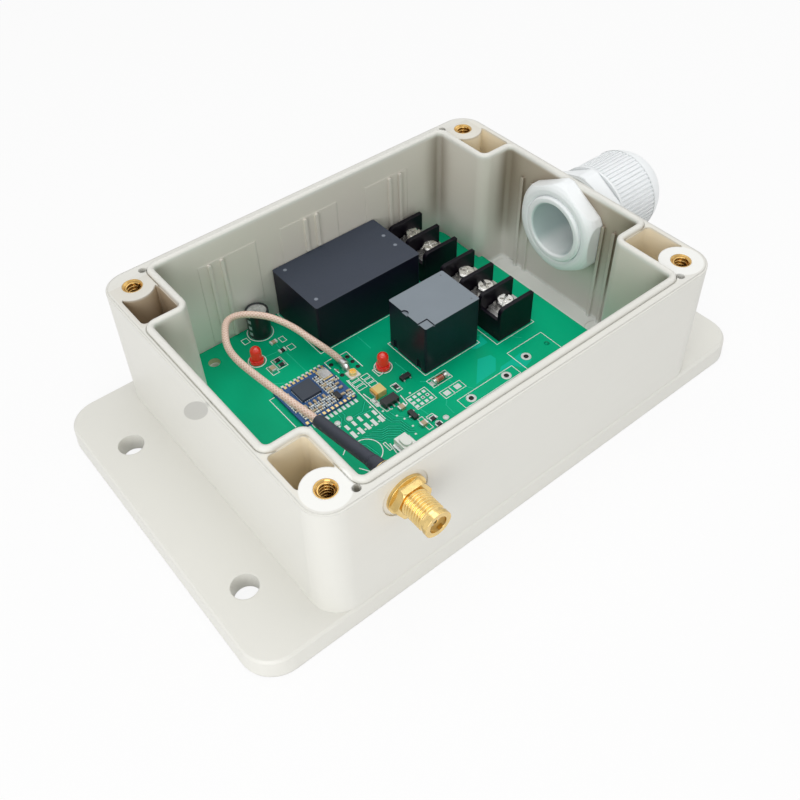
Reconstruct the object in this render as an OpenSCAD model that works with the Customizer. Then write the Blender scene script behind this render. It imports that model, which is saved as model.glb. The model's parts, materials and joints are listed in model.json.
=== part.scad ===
// Relay switch unit in an open flanged housing
// Millimetres. X runs along the long side to the cable gland, Y to the back wall, Z is up.

/* [Housing] */
// Outside length of the housing at its rim
body_length = 114.8; // [114:0.2:120]
// Outside width of the housing at its rim
body_width = 88.4; // [88:0.2:94]
// Height of the flat rim above the mounting face
rim_height = 39; // [38:0.5:44]
// Floor thickness
floor_t = 2.6; // [2.2:0.1:3]
// Thickness of the two mounting flanges
flange_t = 5.2; // [4:0.2:6]
// Length over the two mounting flanges
flange_length = 152.8; // [151:0.2:160]
// Diameter of the four mounting holes
mount_hole_d = 6.3; // [4:0.1:7]
// Distance between mounting holes along the length
mount_pitch_x = 134.3; // [133:0.1:136]
// Distance between mounting holes across the width
mount_pitch_y = 51.4; // [40:0.2:60]

/* [Rim] */
// Width of the raised sealing lip
lip_w = 1.65; // [1.4:0.05:1.8]
// Height of the lip above the rim
lip_h = 1; // [0.9:0.05:1.4]
// Inner radius of the lip round the corner towers
lip_r = 3; // [2.6:0.1:3.4]
// Outside diameter of the threaded inserts
insert_d = 4.9; // [4.7:0.1:5.4]
// Bore of the threaded inserts
insert_bore = 3.6; // [3.2:0.1:3.8]

/* [Board] */
// Clear height below the board
boss_h = 3; // [2.8:0.1:4]
// Board thickness
board_t = 1.6; // [1.2:0.1:2]

/* [Terminals] */
// Pitch of the screw terminals
term_pitch = 7.62; // [7.5:0.02:7.7]
// Height of the divider walls above the board
divider_h = 10.7; // [10:0.1:12]
// Diameter of the terminal screw heads
term_head_d = 4.8; // [4.2:0.1:5]

/* [Relay and module] */
// Relay height above the board
relay_h = 15.4; // [15:0.1:17]
// Power module height above the board
module_h = 15.1; // [12:0.1:16]

/* [Gland] */
// Height of the gland axis
gland_z = 27.1; // [26.5:0.1:27.5]
// Thread diameter of the gland body
gland_d = 18.6; // [18.4:0.1:19]
// Bore of the gland body
gland_bore = 14.6; // [13.6:0.1:14.8]
// Cable bore of the clamping insert
insert_cable_d = 10; // [8:0.1:10.6]
// Number of grip ribs on the dome nut
gland_ribs = 60; // [40:1:66]

/* [Bulkhead connector] */
// Height of the connector axis
sma_z = 32; // [31:0.5:32.5]
// Length of the connector outside the wall
sma_out = 9.9; // [9:0.1:11]

/* [Hidden] */
$fn = 64;

// housing levels
corner_r = 6.15;
corner_x = body_length / 2 - corner_r;
corner_y = body_width / 2 - corner_r;
draft = 1;
inner_r = 1.2;
edge_step = 0.3;
boss_r = 5.2;
cav_x = body_length / 2 - 2.9;
cav_y = body_width / 2 - 3.8;
tower_x = corner_x - 6.55;
tower_y = corner_y - 15.55;
groove_w = 0.25;
pocket_x0 = tower_x + lip_w + groove_w;
pocket_x1 = body_length / 2 - 1.6;
pocket_y0 = tower_y + lip_w + groove_w;
pocket_y1 = corner_y - 2.8;
pocket_z = 6.4;
flange_cx = flange_length / 2 - 8.2;
rib_top = rim_height - 6;
rib_w = 1;
rib_d = 0.8;
panel_d = 0.12;
panels = [[-33.8, -17], [-9.5, 8.6], [18.1, 32.8]];
weld = 0.2;
wall_y = body_width / 2;
wall_x = body_length / 2;

// board levels
board_under = floor_t + boss_h;
board_top = board_under + board_t;
board_gap = 0.3;
board_x = tower_x - 0.4;
board_y = cav_y - board_gap;
board_x2 = cav_x - 9;
tail = 1.4;
fix_y = board_y - 5.2;
board_fix = [[6.8 - board_x, fix_y], [6.8 - board_x, -fix_y], [board_x - 5.8, -fix_y]];

// terminals, all levels above the board
term_x0 = 24.4;
term_x1 = 36.1;
wall_t = 1.2;
two_y0 = board_y - 17.55;
three_y0 = -7.6;
block_h = 4.6;
strip_t = 0.8;
plate_t = 0.9;
term_screw_x = 30.2;
term_head_h = 2.5;
cell_w = term_pitch - wall_t;
shank_d = 3;
shank_hole = 3.15;
pin_x = 33.9;
back_h = 6.6;

// power module and relay
mod_l = 34;
mod_w = 20.2;
mod_x = -13.85;
mod_y = board_y - 0.1 - mod_w;
rel_x = 1.9;
rel_y = -4.1;
rel_l = 18;
rel_w = 14.6;
coil_x = rel_x + 6.2;
coil_y = rel_y + rel_w / 2;

// capacitor and lamps
cap_x = -21.9;
cap_y = board_y - 3.3;
cap_h = 7.9;
cap_d = 6.3;
lamp_y = board_y - 12;
lamp_at = [[-28.6, lamp_y], [-4.8, 5]];

// radio module
rad_x = -32.2;
rad_y = 0.9;
rad_l = 15.7;
rad_w = 14.2;
rad_t = 0.8;
rad_top = board_top + rad_t;

// coaxial line
plug_x = -12.5;
plug_y = 7.8;
plug_z = board_top + 1.3;
sma_x = 7.4 - tower_x;
sleeve_a = [sma_x, 5.6 - cav_y, sma_z];
sleeve_b = [-37, -14, 26.5];
coax_r = 0.9;
coax_pts = [[-38.5, -4, 26.5], [-39.5, 5.5, 26], [-40, 14, 25.5], [-39, 20.5, 24.5], [-36.5, 26, 24],
  [-33.5, 30, 23], [-29.5, 31.5, 21.5], [-25.5, 30.5, 20], [-22, 28, 18.5], [-19, 24, 16.5],
  [-17, 19.5, 14.5], [-15.2, 16.5, 12.5], [-13.4, 14.5, 10], [plug_x, 13.2, plug_z], [plug_x, 11.8, plug_z]];

// gland
gl_face = wall_x;
gl_washer = 1;
gl_hex_x0 = gl_face + gl_washer;
gl_hex_x1 = gl_hex_x0 + 5;
gl_lock_t = 5;
gl_in = cav_x - gl_lock_t - 0.5;
gl_nut_x0 = gl_hex_x1 + 0.5;
gl_nut_x1 = gl_nut_x0 + 12.6;
gl_end = gl_nut_x1 + 7;
gl_nut_r = 11.5;
gl_body_end = gl_nut_x1 - 2.4;
gl_throat_r = gland_d / 2 - 1.3;
gl_seal_r = gland_d / 2 - 0.6;
gl_rib_w = 0.6;

// bulkhead connector
sma_face = wall_y;
sma_end = sma_face + sma_out;

// small parts: x, y
tant_at = [-11.7, -1.7];
reg_at = [-11.3, -5.8];
btn_at = [-17.2, -19.3];

module rounded(x0, y0, x1, y1, r) {
  translate([x0 + r, y0]) square([x1 - x0 - 2 * r, y1 - y0]);
  translate([x0, y0 + r]) square([x1 - x0, y1 - y0 - 2 * r]);
  for (x = [x0 + r, x1 - r])
    for (y = [y0 + r, y1 - r])
      translate([x, y]) circle(r = r);
}

module plate(x0, y0, x1, y1, r, z0, z1) {
  translate([0, 0, z0]) linear_extrude(z1 - z0) rounded(x0, y0, x1, y1, r);
}

module block(x0, y0, z0, x1, y1, z1) {
  translate([x0, y0, z0]) cube([x1 - x0, y1 - y0, z1 - z0]);
}

module post(x, y, z0, z1, r) {
  translate([x, y, z0]) cylinder(r = r, h = z1 - z0);
}

// cylinder along X
module bar_x(x0, x1, y, z, r) {
  translate([x0, y, z]) rotate([0, 90, 0]) cylinder(r = r, h = x1 - x0);
}

// cylinder along Y
module bar_y(y0, y1, x, z, r) {
  translate([x, y0, z]) rotate([-90, 0, 0]) cylinder(r = r, h = y1 - y0);
}

module hex_x(x0, x1, z, af) {
  translate([x0, 0, z]) rotate([0, 90, 0]) cylinder(d = af / cos(30), h = x1 - x0, $fn = 6);
}

module hex_y(y0, y1, x, z, af) {
  translate([x, y0, z]) rotate([-90, 0, 0]) cylinder(d = af / cos(30), h = y1 - y0, $fn = 6);
}

// slightly tapered box with true cone corners
module drafted_box(cx, cy, r1, r2, z0, h) {
  translate([0, 0, z0]) {
    for (x = [-cx, cx])
      for (y = [-cy, cy])
        translate([x, y, 0]) cylinder(r1 = r1, r2 = r2, h = h);
    rotate([90, 0, 0]) linear_extrude(2 * cy, center = true)
      polygon([[-cx - r1, 0], [cx + r1, 0], [cx + r2, h], [-cx - r2, h]]);
    rotate([90, 0, 90]) linear_extrude(2 * cx, center = true)
      polygon([[-cy - r1, 0], [cy + r1, 0], [cy + r2, h], [-cy - r2, h]]);
  }
}

// plan of the cavity, grown by g
module cavity_2d(g) {
  rounded(-cav_x - g, -tower_y - g, cav_x + g, tower_y + g, inner_r + g);
  rounded(-tower_x - g, -cav_y - g, tower_x + g, cav_y + g, inner_r + g);
  for (mx = [0, 1])
    for (my = [0, 1])
      mirror([mx, 0]) mirror([0, my]) difference() {
        translate([tower_x + g - 0.01, tower_y + g - 0.01]) square(lip_r - g + 0.01);
        translate([tower_x + lip_r, tower_y + lip_r]) circle(r = lip_r - g);
      }
}

module lip_arc(x, y, r, a) {
  translate([x, y, 0]) rotate([0, 0, a]) rotate_extrude(angle = 90) translate([r, 0]) circle(d = lip_w);
}

// rounded top of the sealing lip, one quarter
module lip_quarter() {
  h = lip_w / 2;
  ax = cav_x - inner_r;
  ay = tower_y - inner_r;
  bx = tower_x - inner_r;
  by = cav_y - inner_r;
  lip_arc(ax, ay, inner_r + h, 0);
  lip_arc(bx, by, inner_r + h, 0);
  lip_arc(tower_x + lip_r, tower_y + lip_r, lip_r - h, 180);
  bar_y(0, ay, cav_x + h, 0, h);
  bar_y(tower_y + lip_r, by, tower_x + h, 0, h);
  bar_x(tower_x + lip_r, ax, tower_y + h, 0, h);
  bar_x(0, bx, cav_y + h, 0, h);
}

module lip() {
  z = rim_height + lip_h - lip_w / 2;
  translate([0, 0, rim_height - 1]) linear_extrude(z - rim_height + 1) difference() {
    cavity_2d(lip_w);
    cavity_2d(0);
  }
  for (mx = [0, 1])
    for (my = [0, 1])
      translate([0, 0, z]) mirror([mx, 0, 0]) mirror([0, my, 0]) lip_quarter();
}

module corner_pocket() {
  translate([0, 0, pocket_z]) linear_extrude(rim_height) difference() {
    rounded(pocket_x0, pocket_y0, pocket_x1, pocket_y1, 1.2);
    translate([corner_x, corner_y]) circle(r = boss_r);
  }
}

// pair of small ribs on the inside of a wall, standing on y = 0 and facing -Y
module rib_pair(z0) {
  for (x = [-1.8, 1.8]) {
    block(x - rib_w / 2, -rib_d, z0, x + rib_w / 2, weld, rib_top - rib_w / 2);
    translate([x, weld, rib_top - rib_w / 2]) rotate([90, 0, 0])
      cylinder(d = rib_w, h = rib_d + weld, $fn = 24);
  }
}

module wall_ribs() {
  low = board_top + 0.4;
  for (s = [0, 1])
    mirror([0, s, 0]) {
      translate([-29, cav_y, 0]) rib_pair(low);
      translate([0, cav_y, 0]) rib_pair(board_top + module_h + 0.4);
      translate([28.2, cav_y, 0]) rib_pair(low);
    }
  for (p = panels) block(p[0], cav_y - panel_d, low, p[1], cav_y + weld, rib_top + 0.2);
  for (s = [0, 1])
    mirror([s, 0, 0]) for (y = [-14.5, 14.7])
      translate([cav_x, y, 0]) rotate([0, 0, -90]) rib_pair(floor_t - weld);
}

module enclosure_base() color([0.88, 0.87, 0.83]) {
  difference() {
    union() {
      drafted_box(corner_x, corner_y, corner_r + draft, corner_r, 0, rim_height - edge_step);
      drafted_box(corner_x, corner_y, corner_r - 0.5, corner_r - 0.5, rim_height - 1, 1);
      drafted_box(flange_cx, corner_y - 0.35, 8.2, 7.8, 0, flange_t - 0.6);
      drafted_box(flange_cx, corner_y - 0.35, 7.8, 7.2, flange_t - 0.6, 0.6);
    }
    translate([0, 0, floor_t]) linear_extrude(rim_height) cavity_2d(0);
    translate([0, 0, rim_height - 0.35]) linear_extrude(2) difference() {
      cavity_2d(lip_w + groove_w);
      cavity_2d(lip_w);
    }
    for (mx = [0, 1])
      for (my = [0, 1])
        mirror([mx, 0, 0]) mirror([0, my, 0]) {
          corner_pocket();
          post(corner_x, corner_y, rim_height - 8.2, rim_height + 1, insert_d / 2);
          post(corner_x, corner_y, rim_height - 13, rim_height - 8, 2.2);
          post(corner_x - 4.5, corner_y + 3.55, rim_height - 6, rim_height + 1, 0.95);
          post(mount_pitch_x / 2, mount_pitch_y / 2, -1, flange_t + 1, mount_hole_d / 2);
          translate([cav_x - 2.6, 18, floor_t - 0.15]) cylinder(r = 3.4, h = 1);
        }
    bar_x(cav_x - 1, wall_x + 5, 0, gland_z, gland_d / 2 + 0.2);
    bar_x(gl_face, gl_face + 5, 0, gland_z, 14);
    bar_y(-sma_face - 3, -cav_y + 1, sma_x, sma_z, 3.3);
    bar_y(-sma_face - 3, -sma_face, sma_x, sma_z, 5.6);
  }
  lip();
  wall_ribs();
  for (p = board_fix) difference() {
    post(p[0], p[1], floor_t - 0.5, board_under, 3.4);
    post(p[0], p[1], floor_t + 0.2, board_under + 1, 1.35);
  }
  post(board_x - 4.8, fix_y, floor_t - 0.5, board_under, 2.4);
  for (x = [5.3 - board_x, board_x2 - 5]) post(x, 0, floor_t - 0.5, board_under, 2);
}

module brass_inserts() color([0.78, 0.6, 0.3]) {
  for (x = [-corner_x, corner_x])
    for (y = [-corner_y, corner_y])
      difference() {
        post(x, y, rim_height - 8.2, rim_height, insert_d / 2);
        post(x, y, rim_height - 9, rim_height + 1, insert_bore / 2);
        translate([x, y, rim_height - 0.4]) cylinder(d1 = insert_bore, d2 = insert_bore + 0.8, h = 0.41);
      }
}

module board_2d() {
  difference() {
    union() {
      rounded(-board_x, -board_y, board_x, board_y, 3.5);
      rounded(30, -tower_y + 0.6, board_x2, tower_y - 0.6, 0.4);
    }
    for (p = board_fix) translate([p[0], p[1]]) circle(r = 1.6);
    for (p = module_pins()) translate([p[0], p[1]]) circle(r = 0.6);
    for (p = relay_pins()) translate([p[0], p[1]]) circle(r = 0.6);
    for (i = [0:4]) translate([pin_x, cell_y(i)]) circle(r = 0.7);
    for (p = lead_pins()) translate([p[0], p[1]]) circle(r = 0.4);
    for (x = [-14.7, -9.6])
      for (y = [9.4, 11.8, 14.3])
        translate([x, y]) circle(r = 0.5);
    for (x = [26, 33.6]) translate([x, -16.2]) circle(r = 0.7);
    for (x = [5.2, 17.3]) translate([x, -17.9]) circle(r = 0.6);
  }
}

function cell_y(i) = i < 3 ? three_y0 + wall_t / 2 + (i + 0.5) * term_pitch
  : two_y0 + wall_t / 2 + (i - 2.5) * term_pitch;
function module_pins() = [[mod_x + 2.3, mod_y + 7.6], [mod_x + 2.3, mod_y + 12.6],
  [mod_x + mod_l - 2.3, mod_y + 2.7], [mod_x + mod_l - 2.3, mod_y + mod_w - 2.7]];
function relay_pins() = [[rel_x + 1.8, rel_y + 2.4], [rel_x + 1.8, rel_y + rel_w - 2.4],
  [rel_x + 14.4, rel_y + 2.4], [rel_x + 14.4, rel_y + rel_w - 2.4]];
function lead_pins() = [[cap_x - 1.25, cap_y], [cap_x + 1.25, cap_y],
  [lamp_at[0][0] - 1.27, lamp_at[0][1]], [lamp_at[0][0] + 1.27, lamp_at[0][1]],
  [lamp_at[1][0] - 1.27, lamp_at[1][1]], [lamp_at[1][0] + 1.27, lamp_at[1][1]]];

module circuit_board() color([0.1, 0.36, 0.2]) {
  translate([0, 0, board_under]) linear_extrude(board_t) board_2d();
}

module board_screws() color([0.7, 0.7, 0.72]) {
  for (p = [board_fix[1], board_fix[2]]) difference() {
    union() {
      post(p[0], p[1], floor_t + 0.4, board_top, 1.35);
      post(p[0], p[1], board_top, board_top + 1.9, 2.7);
    }
    block(p[0] - 1.4, p[1] - 0.3, board_top + 0.9, p[0] + 1.4, p[1] + 0.3, board_top + 3);
    block(p[0] - 0.3, p[1] - 1.4, board_top + 0.9, p[0] + 0.3, p[1] + 1.4, board_top + 3);
  }
}

module power_module_case() color([0.06, 0.06, 0.07]) {
  plate(mod_x, mod_y, mod_x + mod_l, mod_y + mod_w, 0.6, board_top, board_top + module_h);
}

module power_module_pins() color([0.75, 0.75, 0.76]) {
  for (p = module_pins()) post(p[0], p[1], board_under - tail, board_top, 0.5);
}

module relay_base() color([0.1, 0.1, 0.1]) {
  difference() {
    block(rel_x + 0.8, rel_y + 0.8, board_top, rel_x + rel_l - 0.8, rel_y + rel_w - 0.8, board_top + 1.8);
    for (p = relay_pins()) post(p[0], p[1], board_top - 1, board_top + 3, 0.5);
  }
}

module relay_cover() color([0.05, 0.05, 0.06]) {
  difference() {
    plate(rel_x, rel_y, rel_x + rel_l, rel_y + rel_w, 0.5, board_top, board_top + relay_h);
    block(rel_x + 0.8, rel_y + 0.8, board_top - 1, rel_x + rel_l - 0.8, rel_y + rel_w - 0.8,
      board_top + relay_h - 0.8);
    for (y = [rel_y + 2.6, rel_y + rel_w - 2.6])
      block(rel_x - 1, y - 0.8, board_top - 1, rel_x + 0.4, y + 0.8, board_top + 3.2);
    post(rel_x, rel_y + 8.2, board_top + relay_h - 0.5, board_top + relay_h + 1, 1.1);
    block(rel_x + 2.6, rel_y - 1, board_top + relay_h - 0.4, rel_x + 3, rel_y + 2.6, board_top + relay_h + 1);
    block(rel_x - 1, rel_y + 2.6, board_top + relay_h - 0.4, rel_x + 3, rel_y + 3, board_top + relay_h + 1);
  }
}

module relay_coil() color([0.6, 0.3, 0.16]) {
  z = board_top + 2.6;
  difference() {
    union() {
      post(coil_x, coil_y, z, z + 0.8, 4.7);
      post(coil_x, coil_y, z, z + 8.4, 4.1);
      post(coil_x, coil_y, z + 7.6, z + 8.4, 4.7);
    }
    post(coil_x, coil_y, z - 1, z + 9, 1.5);
  }
}

module relay_core() color([0.62, 0.62, 0.64]) {
  z = board_top + 1.8;
  post(coil_x, coil_y, z + 0.8, z + 9.6, 1.5);
}

module relay_yoke() color([0.55, 0.56, 0.58]) {
  z = board_top + 1.8;
  difference() {
    block(coil_x - 4.8, coil_y - 4, z, coil_x + 6.2, coil_y + 4, z + 0.8);
    for (p = relay_pins()) post(p[0], p[1], z - 1, z + 2, 0.8);
  }
  block(coil_x + 5.4, coil_y - 4, z, coil_x + 6.2, coil_y + 4, z + 10.2);
}

module relay_contacts() color([0.8, 0.62, 0.4]) {
  z = board_top + 1.8;
  for (p = relay_pins()) post(p[0], p[1], board_under - tail, z, 0.5);
  for (k = [2, 3]) {
    x = relay_pins()[k][0];
    y = relay_pins()[k][1];
    block(x + 0.2, y - 1.2, z, x + 0.6, y + 1.2, z + 6.4 + (k - 2) * 2.4);
    bar_x(x + 0.6, x + 1, y, z + 5.4 + (k - 2) * 2.4, 0.8);
  }
}

module relay_armature() color([0.6, 0.61, 0.63]) {
  z = board_top + 1.8 + 10.2;
  block(coil_x - 4.6, coil_y - 3.6, z, coil_x + 6.2, coil_y + 3.6, z + 0.8);
}

// barrier body with n cells, front face at y0
module terminal_body(n, y0) {
  y1 = y0 + n * term_pitch + wall_t;
  difference() {
    union() {
      block(term_x0, y0, board_top, term_x1, y1, board_top + block_h);
      block(term_x0, y0, board_top, term_x0 + 1, y1, board_top + back_h);
      for (i = [0:n]) divider(y0 + i * term_pitch);
    }
    for (i = [0:n - 1]) {
      y = y0 + wall_t / 2 + (i + 0.5) * term_pitch;
      post(term_screw_x, y, board_top + 0.6, board_top + block_h + 1, 1.9);
      post(pin_x, y, board_top - 1, board_top + block_h + 1, 0.6);
    }
  }
}

module divider(y) {
  r = 1.6;
  translate([0, y + wall_t, board_top]) rotate([90, 0, 0]) linear_extrude(wall_t) {
    square_from(term_x0, 0, term_x1, divider_h - r);
    square_from(term_x0 + r, 0, term_x1, divider_h);
    translate([term_x0 + r, divider_h - r]) circle(r = r);
  }
}

module square_from(x0, y0, x1, y1) {
  translate([x0, y0]) square([x1 - x0, y1 - y0]);
}

module terminal_strips(i0, i1) {
  for (i = [i0:i1]) {
    y = cell_y(i);
    z = board_top + block_h;
    difference() {
      block(term_x0 + 1, y - cell_w / 2 + 0.3, z, term_x1 - 0.3, y + cell_w / 2 - 0.3, z + strip_t);
      post(term_screw_x, y, z - 1, z + 3, shank_hole / 2);
    }
    post(pin_x, y, board_under - tail, z, 0.6);
  }
}

module two_way_terminal_body() color([0.07, 0.07, 0.08]) terminal_body(2, two_y0);
module three_way_terminal_body() color([0.07, 0.07, 0.08]) terminal_body(3, three_y0);
module two_way_terminal_strips() color([0.75, 0.75, 0.76]) terminal_strips(3, 4);
module three_way_terminal_strips() color([0.75, 0.75, 0.76]) terminal_strips(0, 2);

module clamp_plate(i) color([0.8, 0.8, 0.82]) {
  y = cell_y(i);
  z = board_top + block_h + strip_t;
  difference() {
    union() {
      block(term_screw_x - 3.3, y - 2.8, z, term_screw_x + 3.3, y + 2.8, z + plate_t);
      for (s = [-1, 1]) block(term_screw_x - 1.6, y + s * 2.8 - 0.2 - s * 0.2, z, term_screw_x + 1.6,
        y + s * 2.8 + 0.2 - s * 0.2, z + plate_t + 0.5);
    }
    post(term_screw_x, y, z - 1, z + 3, shank_hole / 2);
  }
}

module terminal_screw(i) color([0.82, 0.82, 0.84]) {
  y = cell_y(i);
  z = board_top + block_h + strip_t + plate_t;
  difference() {
    union() {
      post(term_screw_x, y, z - 4.9, z + 0.5, shank_d / 2);
      post(term_screw_x, y, z, z + term_head_h - 0.4, term_head_d / 2);
      translate([term_screw_x, y, z + term_head_h - 0.4])
        cylinder(d1 = term_head_d, d2 = term_head_d - 0.8, h = 0.4);
    }
    rotate_about(term_screw_x, y, 35 + i * 40) {
      block(term_screw_x - 3, y - 0.4, z + term_head_h - 1, term_screw_x + 3, y + 0.4, z + term_head_h + 1);
      block(term_screw_x - 0.35, y - 1.5, z + term_head_h - 1.2, term_screw_x + 0.35, y + 1.5, z + 4);
    }
  }
}

module rotate_about(x, y, a) {
  translate([x, y, 0]) rotate([0, 0, a]) translate([-x, -y, 0]) children();
}

module clamp_plate_1() clamp_plate(0);
module clamp_plate_2() clamp_plate(1);
module clamp_plate_3() clamp_plate(2);
module clamp_plate_4() clamp_plate(3);
module clamp_plate_5() clamp_plate(4);
module terminal_screw_1() terminal_screw(0);
module terminal_screw_2() terminal_screw(1);
module terminal_screw_3() terminal_screw(2);
module terminal_screw_4() terminal_screw(3);
module terminal_screw_5() terminal_screw(4);

module capacitor_sleeve() color([0.07, 0.07, 0.1]) {
  difference() {
    post(cap_x, cap_y, board_top, board_top + cap_h, cap_d / 2);
    post(cap_x, cap_y, board_top - 1, board_top + cap_h - 0.15, cap_d / 2 - 0.12);
    post(cap_x, cap_y, board_top, board_top + cap_h + 1, cap_d / 2 - 0.55);
  }
}

module capacitor_can() color([0.78, 0.79, 0.8]) {
  difference() {
    post(cap_x, cap_y, board_top, board_top + cap_h - 0.15, cap_d / 2 - 0.12);
    for (a = [0, 90]) rotate_about(cap_x, cap_y, a + 30)
      block(cap_x - 2, cap_y - 0.12, board_top + cap_h - 0.35, cap_x + 2, cap_y + 0.12, board_top + 9);
  }
}

module indicator_lamps() color([0.85, 0.08, 0.06]) {
  for (p = lamp_at) {
    difference() {
      post(p[0], p[1], board_top, board_top + 1, 1.9);
      block(p[0] + 1.6, p[1] - 3, board_top - 1, p[0] + 3, p[1] + 3, board_top + 2);
    }
    post(p[0], p[1], board_top, board_top + 3.5, 1.5);
    translate([p[0], p[1], board_top + 3.5]) sphere(r = 1.5);
  }
}

module through_hole_leads() color([0.76, 0.76, 0.77]) {
  for (p = lead_pins()) post(p[0], p[1], board_under - tail, board_top, 0.27);
}

module radio_board() color([0.05, 0.12, 0.32]) {
  block(rad_x, rad_y, board_top, rad_x + rad_l, rad_y + rad_w, rad_top);
}

module radio_pads() color([0.85, 0.68, 0.35]) {
  for (i = [0:11])
    for (y = [rad_y, rad_y + rad_w - 0.9])
      block(rad_x + 0.5 + i * 1.27, y, rad_top, rad_x + 1.25 + i * 1.27, y + 0.9, rad_top + 0.05);
}

module radio_chip() color([0.09, 0.09, 0.1]) {
  block(-28.3, 7.4, rad_top, -22.6, 12.9, rad_top + 0.9);
}

module radio_crystal() color([0.8, 0.81, 0.82]) {
  plate(-19.8, 10.4, -17.2, 13.6, 0.3, rad_top, rad_top + 0.8);
}

module radio_parts() color([0.72, 0.62, 0.48]) {
  for (x = [-30.4, -29, -27.6, -26.2, -24.8, -23.4])
    block(x, 5.2, rad_top, x + 0.6, 6.3, rad_top + 0.5);
  for (x = [-30.2, -28.4, -26.6, -21.4, -19.6, -17.9])
    block(x, 3, rad_top, x + 1.1, 3.6, rad_top + 0.5);
  for (y = [7.4, 8.8, 10.2, 11.6])
    block(-30.6, y, rad_top, -29.5, y + 0.6, rad_top + 0.5);
  for (y = [5.4, 6.8, 8.2])
    block(-21.4, y, rad_top, -20.3, y + 0.6, rad_top + 0.5);
  for (y = [5.2, 6.8, 8.4])
    block(-18.6, y, rad_top, -17.5, y + 0.6, rad_top + 0.5);
}

module coax_socket() color([0.86, 0.7, 0.36]) {
  difference() {
    union() {
      block(plug_x - 1.5, plug_y - 1.5, board_top, plug_x + 1.5, plug_y + 1.5, board_top + 0.4);
      post(plug_x, plug_y, board_top, board_top + 1.4, 1);
    }
    post(plug_x, plug_y, board_top + 0.5, board_top + 3, 0.8);
  }
  post(plug_x, plug_y, board_top, board_top + 1.2, 0.25);
}

// soldered end of the lead: a drop of solder with a short ferrule in it
module coax_ferrule() color([0.75, 0.75, 0.76]) {
  difference() {
    union() {
      translate([plug_x, plug_y + 3, board_top]) intersection() {
        scale([1.1, 1.4, 1.7]) sphere(r = 1);
        translate([-2, -2, 0]) cube(4);
      }
      bar_y(plug_y + 3, plug_y + 4.8, plug_x, plug_z, 1.15);
    }
    bar_y(plug_y + 3.8, plug_y + 7, plug_x, plug_z, 0.95);
  }
}

function lerp(a, b, t) = a + (b - a) * t;
function unit(v) = v / norm(v);
coax_all = concat([lerp(sleeve_a, sleeve_b, 0.04), lerp(sleeve_a, sleeve_b, 0.5), sleeve_b,
  lerp(sleeve_a, sleeve_b, 1.06)], coax_pts);
coax_n = len(coax_all);
function coax_dir(i) = unit(coax_all[min(i + 1, coax_n - 1)] - coax_all[max(i - 1, 0)]);
function coax_u(i) = unit(cross(coax_dir(i), [0, 0, 1]));
function coax_v(i) = cross(coax_u(i), coax_dir(i));
function coax_ring(i, k) = coax_all[i] + coax_r * (cos(k * 45) * coax_u(i) + sin(k * 45) * coax_v(i));

module coax_cable() color([0.55, 0.38, 0.32]) {
  polyhedron(
    points = [for (i = [0:coax_n - 1]) for (k = [0:7]) coax_ring(i, k)],
    faces = concat(
      [[for (k = [7:-1:0]) k]],
      [for (i = [0:coax_n - 2]) for (k = [0:7])
        [i * 8 + k, i * 8 + (k + 1) % 8, (i + 1) * 8 + (k + 1) % 8]],
      [for (i = [0:coax_n - 2]) for (k = [0:7]) [i * 8 + k, (i + 1) * 8 + (k + 1) % 8, (i + 1) * 8 + k]],
      [[for (k = [0:7]) (coax_n - 1) * 8 + k]]));
}

module shrink_sleeve() color([0.06, 0.06, 0.06]) {
  d = sleeve_b - sleeve_a;
  translate(sleeve_a) rotate([0, acos(d[2] / norm(d)), atan2(d[1], d[0])]) difference() {
    cylinder(r = 1.5, h = norm(d));
    translate([0, 0, -1]) cylinder(r = 1.05, h = norm(d) + 2);
  }
}

module bulkhead_body() color([0.86, 0.7, 0.34]) {
  y0 = -sma_end;
  difference() {
    union() {
      bar_y(y0, -cav_y, sma_x, sma_z, 2.85);
      bar_y(y0, y0 + 1, sma_x, sma_z, 3.175);
      thread_y(y0 + 1.8, -cav_y, sma_x, sma_z, 2.85, 3.175, 0.7);
      hex_y(-cav_y, -cav_y + 2, sma_x, sma_z, 8);
      bar_y(-cav_y + 2, -cav_y + 3.4, sma_x, sma_z, 2.6);
      bar_y(-cav_y + 3.4, -cav_y + 4.8, sma_x, sma_z, 1.6);
    }
    bar_y(y0 - 1, -cav_y + 2.4, sma_x, sma_z, 2.05);
    bar_y(-cav_y + 2, -cav_y + 6, sma_x, sma_z, 0.95);
  }
}

// ring thread along Y from y0 to y1
module thread_y(y0, y1, x, z, r0, r1, pitch) {
  n = floor((y1 - y0) / pitch);
  translate([x, y0, z]) rotate([-90, 0, 0]) for (i = [0:n - 1])
    translate([0, 0, i * pitch]) {
      cylinder(r1 = r0, r2 = r1, h = pitch * 0.4);
      translate([0, 0, pitch * 0.4]) cylinder(r = r1, h = pitch * 0.2);
      translate([0, 0, pitch * 0.6]) cylinder(r1 = r1, r2 = r0, h = pitch * 0.4);
    }
}

module bulkhead_insulator() color([0.93, 0.92, 0.88]) {
  difference() {
    bar_y(-sma_end + 1.6, -cav_y + 2.4, sma_x, sma_z, 2.05);
    bar_y(-sma_end, -cav_y + 3, sma_x, sma_z, 0.63);
  }
}

module bulkhead_contact() color([0.86, 0.7, 0.34]) {
  difference() {
    bar_y(-sma_end + 0.9, -cav_y + 2.4, sma_x, sma_z, 0.63);
    bar_y(-sma_end, -sma_end + 4, sma_x, sma_z, 0.46);
  }
}

module bulkhead_washer() color([0.8, 0.66, 0.36]) {
  difference() {
    bar_y(-sma_face - 0.8, -sma_face, sma_x, sma_z, 4.7);
    bar_y(-sma_face - 2, -sma_face + 1, sma_x, sma_z, 3.2);
  }
}

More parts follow.
